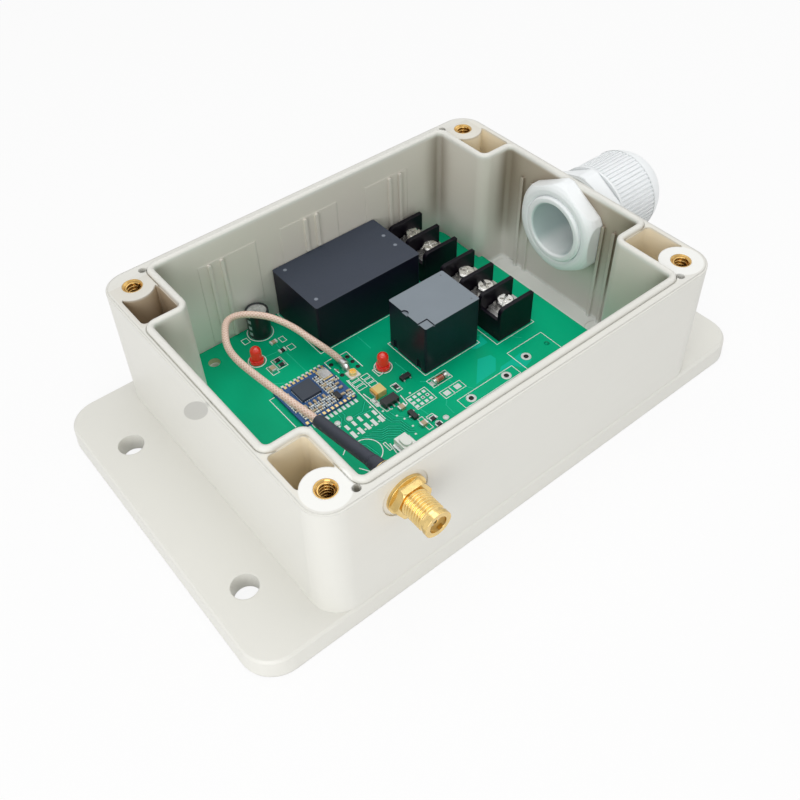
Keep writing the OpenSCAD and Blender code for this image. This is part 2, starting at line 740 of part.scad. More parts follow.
module bulkhead_nut() color([0.86, 0.7, 0.34]) {
  difference() {
    intersection() {
      hex_y(-sma_face - 2.9, -sma_face - 0.8, sma_x, sma_z, 8);
      translate([sma_x, -sma_face - 0.8, sma_z]) rotate([90, 0, 0]) cylinder(r1 = 5.4, r2 = 4.3, h = 2.1);
    }
    bar_y(-sma_face - 4, -sma_face, sma_x, sma_z, 3.2);
  }
}

module gland_locknut() color([0.93, 0.93, 0.91]) {
  x0 = cav_x - gl_lock_t;
  difference() {
    intersection() {
      hex_x(x0, cav_x, gland_z, 24);
      translate([x0, 0, gland_z]) rotate([0, 90, 0]) rotate_extrude()
        polygon([[0, 0], [11, 0], [11.8, 0.3], [12.6, 0.9], [13.1, 1.7], [13.3, 2.6], [13.3, 6], [0, 6]]);
    }
    bar_x(x0 - 1, cav_x + 1, 0, gland_z, gland_d / 2 + 0.05);
    translate([x0 - 0.01, 0, gland_z]) rotate([0, 90, 0])
      cylinder(r1 = gland_d / 2 + 0.6, r2 = gland_d / 2, h = 0.6);
  }
}

module gland_body() color([0.93, 0.93, 0.91]) {
  difference() {
    union() {
      bar_x(gl_in, gl_body_end, 0, gland_z, gland_d / 2);
      intersection() {
        hex_x(gl_hex_x0, gl_hex_x1, gland_z, 22);
        bar_x(gl_hex_x0, gl_hex_x1, 0, gland_z, 12.2);
      }
    }
    bar_x(gl_in - 1, gl_body_end + 1, 0, gland_z, gland_bore / 2);
    bar_x(gl_body_end - 7, gl_body_end + 1, 0, gland_z, gl_throat_r);
    translate([gl_in - 0.01, 0, gland_z]) rotate([0, 90, 0])
      cylinder(r1 = gland_bore / 2 + 0.5, r2 = gland_bore / 2, h = 0.5);
    translate([gl_in - 0.01, 0, gland_z]) rotate([0, 90, 0]) difference() {
      cylinder(r = gland_d, h = 0.5);
      cylinder(r1 = gland_d / 2 - 0.5, r2 = gland_d / 2, h = 0.5);
    }
  }
}

module gland_seal_washer() color([0.86, 0.86, 0.84]) {
  difference() {
    bar_x(gl_face, gl_hex_x0, 0, gland_z, 11.8);
    bar_x(gl_face - 1, gl_hex_x0 + 1, 0, gland_z, gland_d / 2 + 0.2);
  }
}

module gland_seal_insert() color([0.2, 0.2, 0.21]) {
  difference() {
    union() {
      bar_x(gl_body_end - 6.5, gl_body_end + 0.5, 0, gland_z, gl_throat_r - 0.1);
      bar_x(gl_body_end + 0.4, gl_nut_x1 + 3.4, 0, gland_z, gl_seal_r);
    }
    bar_x(gl_body_end - 8, gl_nut_x1 + 8, 0, gland_z, insert_cable_d / 2);
  }
}

module gland_dome_nut() color([0.93, 0.93, 0.91]) {
  rs = gl_nut_r + 0.3;
  clear = 2 * rs;
  dome_x = gl_nut_x1 - sqrt(rs * rs - gl_nut_r * gl_nut_r);
  difference() {
    union() {
      bar_x(gl_nut_x0, gl_nut_x1 + 0.5, 0, gland_z, gl_nut_r - 0.4);
      bar_x(gl_nut_x0, gl_nut_x0 + 0.8, 0, gland_z, gl_nut_r + 0.1);
      difference() {
        translate([dome_x, 0, gland_z]) rotate([0, 90, 0]) sphere(r = rs);
        for (x = [gl_nut_x1 - clear, gl_end]) translate([x, -rs, gland_z - rs]) cube([clear, 2 * rs, 2 * rs]);
      }
      for (i = [0:gland_ribs - 1])
        translate([gl_nut_x0 + 0.4, 0, gland_z]) rotate([i * 360 / gland_ribs, 0, 0])
          translate([0, -gl_rib_w / 2, gl_nut_r - 1]) cube([gl_nut_x1 - gl_nut_x0 - 0.2, gl_rib_w, 0.9]);
    }
    bar_x(gl_nut_x0 - 1, gl_nut_x1 + 0.4, 0, gland_z, gland_d / 2 + 0.08);
    bar_x(gl_nut_x0, gl_nut_x1 + 3.4, 0, gland_z, gl_seal_r + 0.05);
    bar_x(gl_nut_x0, gl_end + 1, 0, gland_z, 6);
  }
}

module tantalum_capacitor() color([0.88, 0.68, 0.2]) {
  translate([tant_at[0], tant_at[1], board_top]) block(-1.6, -1.4, 0, 1.6, 1.4, 1.9);
}

module voltage_regulator() color([0.08, 0.08, 0.09]) {
  translate([reg_at[0], reg_at[1], board_top]) block(-2.2, -1.2, 0, 2.2, 1.2, 1.5);
}

transistor_at = [[-3, -1.8, 0], [-9.7, -13, 90]];

module small_transistors() color([0.07, 0.07, 0.08]) {
  for (p = transistor_at) translate([p[0], p[1], board_top]) rotate([0, 0, p[2]])
    block(-1.45, -0.65, 0, 1.45, 0.65, 1);
}

chip_caps = [[-10.2, -9.3, 0], [-9.5, -16.9, 0], [-27.3, lamp_y - 5.5, 90]];
chip_res = [[-6.8, -2.9, 90], [-6.7, -17, 0], [-6.7, -19.3, 0], [-24.6, lamp_y - 3.5, 0],
  [-24.6, lamp_y - 5.5, 0]];

module chip_capacitors() color([0.68, 0.55, 0.4]) {
  for (p = chip_caps) translate([p[0], p[1], board_top]) rotate([0, 0, p[2]])
    block(-0.6, -0.7, 0, 0.6, 0.7, 0.9);
}

module chip_resistors() color([0.08, 0.08, 0.09]) {
  for (p = chip_res) translate([p[0], p[1], board_top]) rotate([0, 0, p[2]])
    block(-0.65, -0.5, 0, 0.65, 0.5, 0.5);
}

module part_terminals() color([0.78, 0.78, 0.79]) {
  for (p = chip_caps) translate([p[0], p[1], board_top]) rotate([0, 0, p[2]])
    for (s = [-1, 1]) block(s * 0.8 - 0.2, -0.7, 0, s * 0.8 + 0.2, 0.7, 0.9);
  for (p = chip_res) translate([p[0], p[1], board_top]) rotate([0, 0, p[2]])
    for (s = [-1, 1]) block(s * 0.8 - 0.15, -0.5, 0, s * 0.8 + 0.15, 0.5, 0.5);
  for (p = transistor_at) translate([p[0], p[1], board_top]) rotate([0, 0, p[2]]) {
    for (x = [-0.95, 0.95]) block(x - 0.2, -1.2, 0, x + 0.2, -0.65, 0.5);
    block(-0.2, 0.65, 0, 0.2, 1.2, 0.5);
  }
  translate([tant_at[0], tant_at[1], board_top])
    for (s = [-1, 1]) block(s * 1.7 - 0.1, -1.1, 0, s * 1.7 + 0.1, 1.1, 1.2);
  translate([reg_at[0], reg_at[1], board_top]) {
    for (x = [-1.5, 0, 1.5]) block(x - 0.2, -2.2, 0, x + 0.2, -1.2, 0.4);
    block(-0.9, 1.2, 0, 0.9, 1.8, 0.4);
  }
}

module glass_diode() color([0.6, 0.28, 0.16]) {
  bar_x(1.3, 4.7, -8.2, board_top + 0.9, 0.8);
  bar_x(0.9, 1.3, -8.2, board_top + 0.9, 0.9);
  bar_x(4.7, 5.1, -8.2, board_top + 0.9, 0.9);
}

module button_frame() color([0.93, 0.93, 0.9]) {
  x = btn_at[0];
  y = btn_at[1];
  difference() {
    block(x - 1.7, y - 2.4, board_top, x + 1.7, y + 2.4, board_top + 1.8);
    plate(x - 1.25, y - 1.75, x + 1.25, y + 1.75, 1.2, board_top + 0.5, board_top + 3);
  }
}

module button_legs() color([0.7, 0.7, 0.71]) {
  translate([btn_at[0], btn_at[1], board_top])
    for (s = [-1, 1]) block(s * 2.1 - 0.4, -1.8, 0, s * 2.1 + 0.4, 1.8, 0.7);
}

module button_plunger() color([0.95, 0.95, 0.93]) {
  x = btn_at[0];
  y = btn_at[1];
  plate(x - 1.2, y - 1.7, x + 1.2, y + 1.7, 1.15, board_top + 0.9, board_top + 2.4);
}

enclosure_base();
brass_inserts();
circuit_board();
board_screws();
power_module_case();
power_module_pins();
relay_base();
relay_cover();
relay_coil();
relay_core();
relay_yoke();
relay_contacts();
relay_armature();
two_way_terminal_body();
two_way_terminal_strips();
three_way_terminal_body();
three_way_terminal_strips();
clamp_plate_1();
clamp_plate_2();
clamp_plate_3();
clamp_plate_4();
clamp_plate_5();
terminal_screw_1();
terminal_screw_2();
terminal_screw_3();
terminal_screw_4();
terminal_screw_5();
capacitor_sleeve();
capacitor_can();
indicator_lamps();
through_hole_leads();
radio_board();
radio_pads();
radio_chip();
radio_crystal();
radio_parts();
coax_socket();
coax_ferrule();
coax_cable();
shrink_sleeve();
bulkhead_body();
bulkhead_insulator();
bulkhead_contact();
bulkhead_washer();
bulkhead_nut();
gland_locknut();
gland_body();
gland_seal_washer();
gland_seal_insert();
gland_dome_nut();
tantalum_capacitor();
voltage_regulator();
small_transistors();
part_terminals();
glass_diode();
chip_capacitors();
chip_resistors();
button_frame();
button_legs();
button_plunger();
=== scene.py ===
"""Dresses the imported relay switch: camera, studio, finishes, coaxial lead, print, pads and small parts.

Places and sizes are in millimetres in the frame of the CAD model. The finishes' grain, depth, edge, cloud,
flow, weave, dash and pitch are in metres, as is whatever a docstring gives in metres.
"""
import json
import logging
import math
from dataclasses import dataclass, field
from enum import Enum
from typing import Any, Iterable, Sequence, Union

import bmesh
import bpy
from mathutils import Matrix, Vector

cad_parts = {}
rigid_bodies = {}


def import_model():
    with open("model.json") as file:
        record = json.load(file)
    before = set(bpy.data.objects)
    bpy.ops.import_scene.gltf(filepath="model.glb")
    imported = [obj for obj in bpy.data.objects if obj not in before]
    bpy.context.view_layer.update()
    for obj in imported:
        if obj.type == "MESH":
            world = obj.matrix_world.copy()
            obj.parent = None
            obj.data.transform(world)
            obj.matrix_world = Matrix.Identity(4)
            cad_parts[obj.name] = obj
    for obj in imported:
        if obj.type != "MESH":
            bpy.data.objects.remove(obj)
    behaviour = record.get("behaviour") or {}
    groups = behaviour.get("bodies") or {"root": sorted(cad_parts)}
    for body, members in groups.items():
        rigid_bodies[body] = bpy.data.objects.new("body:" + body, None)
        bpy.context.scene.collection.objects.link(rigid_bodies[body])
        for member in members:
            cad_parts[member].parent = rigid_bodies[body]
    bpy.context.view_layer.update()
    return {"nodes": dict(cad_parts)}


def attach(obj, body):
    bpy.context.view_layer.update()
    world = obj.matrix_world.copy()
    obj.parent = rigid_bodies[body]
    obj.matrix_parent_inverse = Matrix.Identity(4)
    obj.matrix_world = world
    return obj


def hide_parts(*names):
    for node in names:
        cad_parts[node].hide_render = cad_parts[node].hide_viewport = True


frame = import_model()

log = logging.getLogger("relay_switch")
MM = 0.001
HOUSING = "housing"  # the body that every new piece rides on
Colour = tuple[float, float, float]
Point = Sequence[float]
Value = Union["Wire", float, Sequence[float]]


def mm(*values: float) -> Vector:
    """Turns millimetres into a vector in metres."""
    return Vector([v * MM for v in values])


def tint(red: int, green: int, blue: int) -> Colour:
    """Turns a screen colour into a linear one.

    Args:
        red: Red, 0 to 255.
        green: Green, 0 to 255.
        blue: Blue, 0 to 255.

    Returns:
        The colour in linear light, 0 to 1.
    """
    def one(level: int) -> float:
        """Returns one channel in linear light."""
        share = level / 255
        return share / 12.92 if share <= 0.04045 else ((share + 0.055) / 1.055) ** 2.4

    return one(red), one(green), one(blue)


def times(colour: Colour, factor: float) -> Colour:
    """Returns a colour made lighter or darker by a factor, at most 1 in each channel."""
    return tuple(min(1, channel * factor) for channel in colour)


class Slot(Enum):
    """The record's material slots, listed beside the new pieces."""

    BRASS = "brass"
    CERAMIC = "ceramic_tan"
    GOLD = "gold_plate"
    JACKET = "coax_jacket"
    MASK = "green_board"
    NYLON = "white_nylon"
    RESISTOR = "resistor_black"
    SLEEVE = "black_sleeve"
    TIN = "tinned"


class Wire:
    """One output socket in a node tree; arithmetic on it adds Math nodes."""

    def __init__(self, maker: "Maker", socket: bpy.types.NodeSocket) -> None:
        """Keeps the maker and the socket."""
        self.maker = maker
        self.socket = socket

    def __add__(self, other: Value) -> "Wire":
        """Adds."""
        return self.maker.maths("ADD", self, other)

    __radd__ = __add__

    def __sub__(self, other: Value) -> "Wire":
        """Subtracts the other from this."""
        return self.maker.maths("SUBTRACT", self, other)

    def __rsub__(self, other: Value) -> "Wire":
        """Subtracts this from the other."""
        return self.maker.maths("SUBTRACT", other, self)

    def __mul__(self, other: Value) -> "Wire":
        """Multiplies."""
        return self.maker.maths("MULTIPLY", self, other)

    __rmul__ = __mul__

    def __pow__(self, other: Value) -> "Wire":
        """Raises this to a power."""
        return self.maker.maths("POWER", self, other)

    def sine(self) -> "Wire":
        """Returns the sine, this being in radians."""
        return self.maker.maths("SINE", self)

    def size(self) -> "Wire":
        """Returns this without its sign."""
        return self.maker.maths("ABSOLUTE", self)

    def ramp(self, low: float, high: float) -> "Wire":
        """Returns 0 below low, 1 above high and a smooth step between."""
        values = {"Value": self, "From Min": low, "From Max": high}
        return self.maker.node("ShaderNodeMapRange", {"interpolation_type": "SMOOTHSTEP"}, values)

    def step(self, start: float, end: float) -> "Wire":
        """Makes a smooth step along a length.

        Args:
            start: Where it is 0, in millimetres.
            end: Where it is 1, in millimetres; it may be less than the start.

        Returns:
            The step, 0 to 1.
        """
        if start > end:
            return 1 - self.ramp(end * MM, start * MM)
        return self.ramp(start * MM, end * MM)


class Maker:
    """Adds nodes to one tree."""

    def __init__(self, tree: bpy.types.NodeTree) -> None:
        """Keeps the tree."""
        self.tree = tree

    def node(self, kind: str, settings: dict[str, Any] | None = None, values: dict[Any, Any] | None = None,
             output: Any = 0) -> Wire:
        """Makes a node.

        Args:
            kind: Blender's name for the node type.
            settings: The node's own settings, set first.
            values: Values or wires by socket name or number.
            output: The name or number of the output that is returned.

        Returns:
            A wire on that output.
        """
        made = self.tree.nodes.new(kind)
        for name, setting in (settings or {}).items():
            setattr(made, name, setting)
        for name, value in (values or {}).items():
            self.feed(made.inputs[name], value)
        return Wire(self, made.outputs[output])

    def feed(self, socket: bpy.types.NodeSocket, value: Any) -> None:
        """Links a wire to a socket, or sets the socket's own value.

        Args:
            socket: The input socket.
            value: A wire, a colour of three numbers or any value that the socket takes.
        """
        if isinstance(value, Wire):
            self.tree.links.new(value.socket, socket)
        elif isinstance(value, tuple) and len(value) == 3 and socket.type == "RGBA":
            socket.default_value = (*value, 1)
        else:
            socket.default_value = value

    def close(self, kind: str, socket: str, wire: Wire) -> None:
        """Makes the tree's output node and links a wire to its socket."""
        self.feed(self.tree.nodes.new(kind).inputs[socket], wire)

    def maths(self, operation: str, *values: Value) -> Wire:
        """Makes a Math node on up to three values."""
        return self.node("ShaderNodeMath", {"operation": operation}, dict(enumerate(values)))

    def mix(self, factor: Value, low: Any, high: Any) -> Wire:
        """Mixes two colours by a factor."""
        return self.node("ShaderNodeMix", {"data_type": "RGBA"}, {0: factor, 6: low, 7: high}, 2)

    def vectors(self, operation: str, one: Any, other: Any, output: str = "Value") -> Wire:
        """Makes a Vector Math node on two vectors."""
        return self.node("ShaderNodeVectorMath", {"operation": operation}, {0: one, 1: other}, output)

    def distance(self, place: Wire, spot: Point) -> Wire:
        """Returns how far a place is from a spot that is given in millimetres."""
        return self.vectors("DISTANCE", place, mm(*spot))

    def place(self) -> Wire:
        """Returns the object coordinates, in metres."""
        return self.node("ShaderNodeTexCoord", output="Object")

    def stretched(self, scale: Point) -> Wire:
        """Returns the object coordinates with each axis scaled; 0 leaves an axis out."""
        return self.node("ShaderNodeMapping", {}, {"Vector": self.place(), "Scale": tuple(scale)})

    def parts(self, vector: Wire) -> tuple[Wire, Wire, Wire]:
        """Splits a vector into its three numbers."""
        outputs = self.node("ShaderNodeSeparateXYZ", {}, {0: vector}).socket.node.outputs
        return tuple(Wire(self, outputs[i]) for i in range(3))

    def noise(self, size: float, detail: float = 2, stretch: Point = (1, 1, 1)) -> Wire:
        """Makes a noise pattern.

        Args:
            size: Size of its grain, in metres.
            detail: Octaves of finer noise.
            stretch: How many times finer it is along each axis.

        Returns:
            The noise, 0 to 1.
        """
        values = {"Vector": self.stretched(stretch), "Scale": 1 / size, "Detail": detail}
        return self.node("ShaderNodeTexNoise", {}, values)

    def soft_edge(self, radius: float) -> tuple[Wire, Wire]:
        """Rounds edges in the shading.

        Args:
            radius: Radius of the rounding, in metres.

        Returns:
            The rounded normal, and a mask that is 1 on sharp edges.
        """
        rounded = self.node("ShaderNodeBevel", {"samples": 6}, {"Radius": radius})
        flat = self.node("ShaderNodeNewGeometry", output="Normal")
        return rounded, (1 - self.vectors("DOT_PRODUCT", rounded, flat)).ramp(0.01, 0.25)

    def bump(self, height: Value, depth: float, normal: Wire | None = None) -> Wire:
        """Makes a bump.

        Args:
            height: Its height, 0 to 1.
            depth: What a height of 1 stands for, in metres.
            normal: The normal that it starts from; the plain one if none is given.

        Returns:
            The bumped normal.
        """
        values = {"Height": height, "Distance": depth, "Strength": 1.0}
        if normal is not None:
            values["Normal"] = normal
        return self.node("ShaderNodeBump", {}, values)


def fresh(owner: bpy.types.Material | bpy.types.World) -> Maker:
    """Empties the node tree of a material or a world.

    Args:
        owner: The material or world.

    Returns:
        A maker on the empty tree.
    """
    owner.use_nodes = True
    owner.node_tree.nodes.clear()
    return Maker(owner.node_tree)


@dataclass(frozen=True)
class Finish:
    """A surface finish that becomes one Blender material."""

    name: str
    colour: Colour
    roughness: float = 0.4

    def material(self) -> bpy.types.Material:
        """Makes the finish's material, once.

        Returns:
            The material.
        """
        found = bpy.data.materials.get(self.name)
        if found:
            return found
        made = bpy.data.materials.new(self.name)
        maker = fresh(made)
        maker.close("ShaderNodeOutputMaterial", "Surface", self.surface(maker))
        return made

    def surface(self, maker: Maker) -> Wire:
        """Builds the shader; each kind of finish has its own."""
        raise NotImplementedError

    def shader(self, maker: Maker, values: dict[str, Any]) -> Wire:
        """Makes the Principled shader with these values."""
        return maker.node("ShaderNodeBsdfPrincipled", {}, values)


@dataclass(frozen=True)
class Moulding(Finish):
    """Moulded plastic with a fine spark texture, soft edges with a painted highlight, and slight mottling."""

    grain: float = 0.0005
    depth: float = 0.000006
    mottle: float = 0.05
    edge: float = 0.0003
    edge_light: float = 0.04
    edge_share: float = 0.6
    cloud: float = 0.02
    fine_rough: float = 0.12
    cloud_rough: float = 0.08
    coat: float = 0.0
    coat_rough: float = 0.2
    specular: float = 0.5

    def tone(self, maker: Maker, shade: Wire) -> Wire:
        """Returns the colour of the plain moulding; some kinds change it at places."""
        return shade

    def edge_highlight(self) -> Colour:
        """Returns the painted highlight colour of the sharp edges."""
        return tuple(min(1, channel + self.edge_light) for channel in self.colour)

    def surface(self, maker: Maker) -> Wire:
        """Builds the shader.

        Args:
            maker: The maker on the material's tree.

        Returns:
            The shader's output.
        """
        cloud = maker.noise(self.cloud, 3)
        fine = maker.noise(self.grain, 3)
        normal, edges = maker.soft_edge(self.edge)
        shade = self.tone(maker, maker.mix(cloud, times(self.colour, 1 - self.mottle), self.colour))
        # Painted highlight: sharp edges are mixed towards a paler colour.
        return self.shader(maker, {
            "Base Color": maker.mix(edges * self.edge_share, shade, self.edge_highlight()),
            "Roughness": self.roughness + self.fine_rough * (fine - 0.5) + self.cloud_rough * (cloud - 0.5),
            "Normal": maker.bump(fine, self.depth, normal),
            "Coat Weight": self.coat,
            "Coat Roughness": self.coat_rough,
            "Specular IOR Level": self.specular,
        })


@dataclass(frozen=True)
class Nylon(Moulding):
    """White nylon with painted shade, greyer and greener, inside the gland's bore, and painted light on the
    bore's lower side.
    """

    axis_z: float = 27.1
    bore_r: float = 7.35
    lit_drop: float = 4.8
    blur: float = 0.4
    bore: Colour = tint(203, 219, 218)
    lit_bore: Colour = tint(252, 255, 255)

    def tone(self, maker: Maker, shade: Wire) -> Wire:
        """Paints shade inside the gland's bore, and light on its lower side.

        Args:
            maker: The maker on the material's tree.
            shade: The colour of the plain moulding.

        Returns:
            The shade with the bore's painted shade and light in it.
        """
        _, _, z = maker.parts(maker.place())
        away = maker.distance(maker.stretched((0, 1, 1)), (0, 0, self.axis_z))
        lit = z.step(self.axis_z - self.bore_r, self.axis_z - self.lit_drop)
        # Painted shade in the bore, with painted light on its lower side.
        inner = maker.mix(lit, self.lit_bore, self.bore)
        return maker.mix(away.step(self.bore_r, self.bore_r + self.blur), inner, shade)


@dataclass(frozen=True)
class Zone:
    """A part of the housing with a colour of its own that paints light or shade there, bounded by smooth
    steps along the axes.

    Each step is the number of its axis, where it is 0 and where it is 1, in millimetres.
    """

    colour: Colour
    share: float
    steps: tuple[tuple[int, float, float], ...]

    def lay(self, maker: Maker, shade: Wire, place: Sequence[Wire], mask: Wire) -> Wire:
        """Mixes the zone's colour into a shade.

        Args:
            maker: The maker on the material's tree.
            shade: The shade so far.
            place: The three object coordinates.
            mask: Where the zone may show at all.

        Returns:
            The shade with the zone in it.
        """
        weight = mask * self.share
        for axis, start, end in self.steps:
            weight = weight * place[axis].step(start, end)
        return maker.mix(weight, shade, self.colour)


@dataclass(frozen=True)
class Housing(Moulding):
    """The shell's off-white plastic, with painted shade inside, in its corners and creases and in the
    back-left pocket, painted light on the low left walls, the inner floor and the other pockets, painted
    highlights on the front boss tops and its edges, and a round mark on the left wall.
    """

    edge_share: float = 0.7
    cloud: float = 0.025
    flow: float = 0.006
    flow_stretch: tuple[float, float, float] = (0.4, 0.4, 2.5)
    flow_share: float = 0.4
    fine_rough: float = 0.14
    cloud_rough: float = 0.1
    mark: tuple[float, float, float] = (-57.6, 1.5, 31.5)
    mark_axes: tuple[tuple[float, float, float], ...] = ((0, -0.209, -0.078), (0, 0.298, 0.347))
    mark_x: tuple[float, float] = (-55, -57)
    mark_share: float = 0.9
    mark_dark: float = 0.66
    mark_relief: float = 0.6
    inside_x: tuple[float, float] = (55.4, 55)
    inside_y: tuple[float, float] = (41.4, 41)
    below_rim: tuple[float, float] = (39.3, 38.1)
    left_fade: tuple[float, float] = (-50, -10)
    left_share: float = 0.4
    right_share: float = 0.7
    middle: tuple[float, float] = (-10, 10)
    pocket_x: tuple[float, float] = (45.4, 56.7)
    pocket_y: tuple[float, float] = (23.4, 39.8)
    pocket_blur: tuple[float, float] = (0.5, 0.3)
    boss_at: tuple[float, float] = (51.25, 38.05)
    boss_edge: tuple[float, float] = (5.4, 5)
    creases: tuple[tuple[float, float], ...] = ((45.2, 42.4), (56, 23))
    crease_reach: float = 7
    shelter_reach: float = 10
    shelter: tuple[float, float] = (0.12, 0.6)
    highlight_openness: tuple[float, float] = (0.6, 0.9)
    # Painted light and shade, laid in this order: painted shade on the inner walls, stronger to the right;
    # painted light on the low left inner walls; painted shade high on the right inner wall; painted shade in
    # tight corners right of the middle and in the creases by the corner towers; painted light on the inner
    # floor; painted warm light in three pockets and painted shade in the back-left one; a painted highlight
    # on the tops of the front bosses.
    inside: Zone = Zone(tint(212, 206, 192), 1, ((2, 2, 30),))
    pale: Zone = Zone(tint(246, 249, 240), 0.8, ((0, -14, -42), (2, 32, 16)))
    far: Zone = Zone(tint(166, 154, 134), 0.85, ((0, 50, 55), (2, 14, 34)))
    corner_shade: Zone = Zone(tint(120, 108, 90), 0.8, ((0, 20, 44), (2, 10, 20)))
    crease_shade: Zone = Zone(tint(120, 108, 90), 0.6, ((2, 8, 16),))
    inner_floor_light: Zone = Zone(tint(254, 255, 252), 1, ((2, 4, 2.6),))
    pocket: Zone = Zone(tint(250, 238, 212), 1, ((2, 1.5, 2.4),))
    pocket_shade: Zone = Zone(tint(188, 170, 144), 1, ((2, 1.5, 2.4),))
    boss_glare: Zone = Zone(tint(244, 244, 240), 1, ((1, 10, -10), (2, 35, 37)))

    def between(self, along: Wire, ends: tuple[float, float]) -> Wire:
        """Finds the stretch that a pocket takes up along one axis.

        Args:
            along: The coordinate along the axis, without its sign.
            ends: The pocket's two ends.

        Returns:
            1 between the ends and 0 outside them.
        """
        low, high = ends
        low_blur, high_blur = self.pocket_blur
        return along.step(low, low + low_blur) * along.step(high, high - high_blur)

    def round_mark(self, maker: Maker, x: Wire) -> Wire:
        """Finds the round mark on the left wall.

        Args:
            maker: The maker on the material's tree.
            x: The object coordinate along x.

        Returns:
            1 on the mark and 0 off it.
        """
        away = maker.vectors("SUBTRACT", maker.place(), mm(*self.mark), "Vector")
        across, along = [maker.vectors("DOT_PRODUCT", away, tuple(part / MM for part in axis))
                         for axis in self.mark_axes]
        return (1 - (across ** 2 + along ** 2).ramp(0.9, 1.1)) * x.step(*self.mark_x)

    def lay_zones(self, maker: Maker, shade: Wire, place: Sequence[Wire], shelter: Wire) -> Wire:
        """Paints shade on the inside, in its tight corners and creases and in the back-left pocket, and
        paints light on the low left walls, the floor, the other pockets and the front boss tops.

        Args:
            maker: The maker on the material's tree.
            shade: The shade of the plain plastic.
            place: The three object coordinates.
            shelter: 1 in tight corners and 0 on open walls.

        Returns:
            The shade with all zones in it.
        """
        x, y, z = place
        level_x, level_y = x.size(), y.size()
        quarter = maker.node("ShaderNodeCombineXYZ", {}, {0: level_x, 1: level_y})
        below = z.step(*self.below_rim)
        within = level_x.step(*self.inside_x) * level_y.step(*self.inside_y)
        inner = within * below
        faded = x.step(*self.left_fade) * (self.right_share - self.left_share) + self.left_share
        back_left = y.step(*self.middle) * (1 - x.step(*self.middle))
        deep = self.between(level_x, self.pocket_x) * self.between(level_y, self.pocket_y) * below
        close = [maker.distance(quarter, (*spot, 0)).step(self.crease_reach, 0) for spot in self.creases]
        boss_glare = maker.distance(quarter, (*self.boss_at, 0)).step(*self.boss_edge)
        # Every layer paints light or shade into the plastic's colour.
        layers = ((self.inside, inner * faded), (self.pale, inner), (self.far, inner),
                  (self.corner_shade, inner * shelter), *((self.crease_shade, inner * near) for near in close),
                  (self.inner_floor_light, within), (self.pocket, deep * (1 - back_left)),
                  (self.pocket_shade, deep * back_left), (self.boss_glare, boss_glare))
        for zone, mask in layers:
            shade = zone.lay(maker, shade, place, mask)
        return shade

    def surface(self, maker: Maker) -> Wire:
        """Builds the shader.

        Args:
            maker: The maker on the material's tree.

        Returns:
            The shader's output.
        """
        place = maker.parts(maker.place())
        disc = self.round_mark(maker, place[0])
        reach = {"Distance": self.shelter_reach * MM}
        open_share = maker.node("ShaderNodeAmbientOcclusion", {"samples": 6}, reach, "AO")
        cloud = maker.noise(self.cloud, 3)
        flow = maker.noise(self.flow, 2, self.flow_stretch)
        fine = maker.noise(self.grain, 3)
        normal, edges = maker.soft_edge(self.edge)
        mottling = cloud * (1 - self.flow_share) + flow * self.flow_share
        shade = maker.mix(mottling, times(self.colour, 1 - self.mottle), self.colour)
        shade = maker.mix(disc * self.mark_share, shade, times(self.colour, self.mark_dark))
        shade = self.lay_zones(maker, shade, place, (1 - open_share).ramp(*self.shelter))
        # Painted highlight on sharp edges, kept out of tight corners.
        bare = edges * self.edge_share * open_share.ramp(*self.highlight_openness)
        return self.shader(maker, {
            "Base Color": maker.mix(bare, shade, self.edge_highlight()),
            "Roughness": self.roughness + self.fine_rough * (fine - 0.5) + self.cloud_rough * (cloud - 0.5),
            "Normal": maker.bump(fine + self.mark_relief * disc, self.depth, normal),
            "Specular IOR Level": self.specular,
        })


@dataclass(frozen=True)
class Metal(Finish):
    """Plated or bare metal with fine brushing, dull patches and a painted highlight on its edges."""

    brush: tuple[float, float, float] = (1, 1, 1)
    grain: float = 0.0003
    depth: float = 0.000003
    tarnish: float = 0.25
    edge: float = 0.00012

    def surface(self, maker: Maker) -> Wire:
        """Builds the shader.

        Args:
            maker: The maker on the material's tree.

        Returns:
            The shader's output.
        """
        fine = maker.noise(self.grain, 3, self.brush)
        cloud = maker.noise(0.002, 4)
        normal, edges = maker.soft_edge(self.edge)
        shade = maker.mix(cloud.ramp(0.35, 0.7), times(self.colour, 1 - self.tarnish), self.colour)
        # Painted highlight: sharp edges are lighter than the metal.
        return self.shader(maker, {
            "Base Color": maker.mix(edges * 0.5, shade, times(self.colour, 1.15)),
            "Metallic": 1.0,
            "Roughness": self.roughness + 0.18 * (fine - 0.5) + 0.1 * (cloud - 0.5),
            "Normal": maker.bump(fine, self.depth, normal),
        })


@dataclass(frozen=True)
class SolderMask(Finish):
    """Green solder mask over woven glass, mottled darker, with a bare glass edge."""

    dark: Colour = tint(0, 160, 114)
    glass: Colour = tint(196, 206, 168)
    top: float = 7.2
    thickness: float = 1.6
    skin: float = 0.05
    blur: float = 0.01
    weave: float = 0.0006

    def surface(self, maker: Maker) -> Wire:
        """Builds the shader.

        Args:
            maker: The maker on the material's tree.

        Returns:
            The shader's output.
        """
        _, _, z = maker.parts(maker.place())
        cloud = maker.noise(0.03, 2)
        warp = maker.noise(self.weave, 1, (1, 0.2, 1))
        weft = maker.noise(self.weave, 1, (0.2, 1, 1))
        cloth = (warp + weft) * 0.5
        low, high = self.top - self.thickness + self.skin, self.top - self.skin
        edge = z.step(low, low + self.blur) * z.step(high, high - self.blur)
        green = maker.mix(cloud.ramp(0.3, 0.7) * 0.8 + cloth * 0.2, self.dark, self.colour)
        normal, _ = maker.soft_edge(0.0001)
        return self.shader(maker, {
            "Base Color": maker.mix(edge, green, self.glass),
            "Roughness": self.roughness + 0.1 * (cloth - 0.5) + 0.3 * edge,
            "Normal": maker.bump(cloth, 0.000004, normal),
            "Specular IOR Level": 0.1,
        })


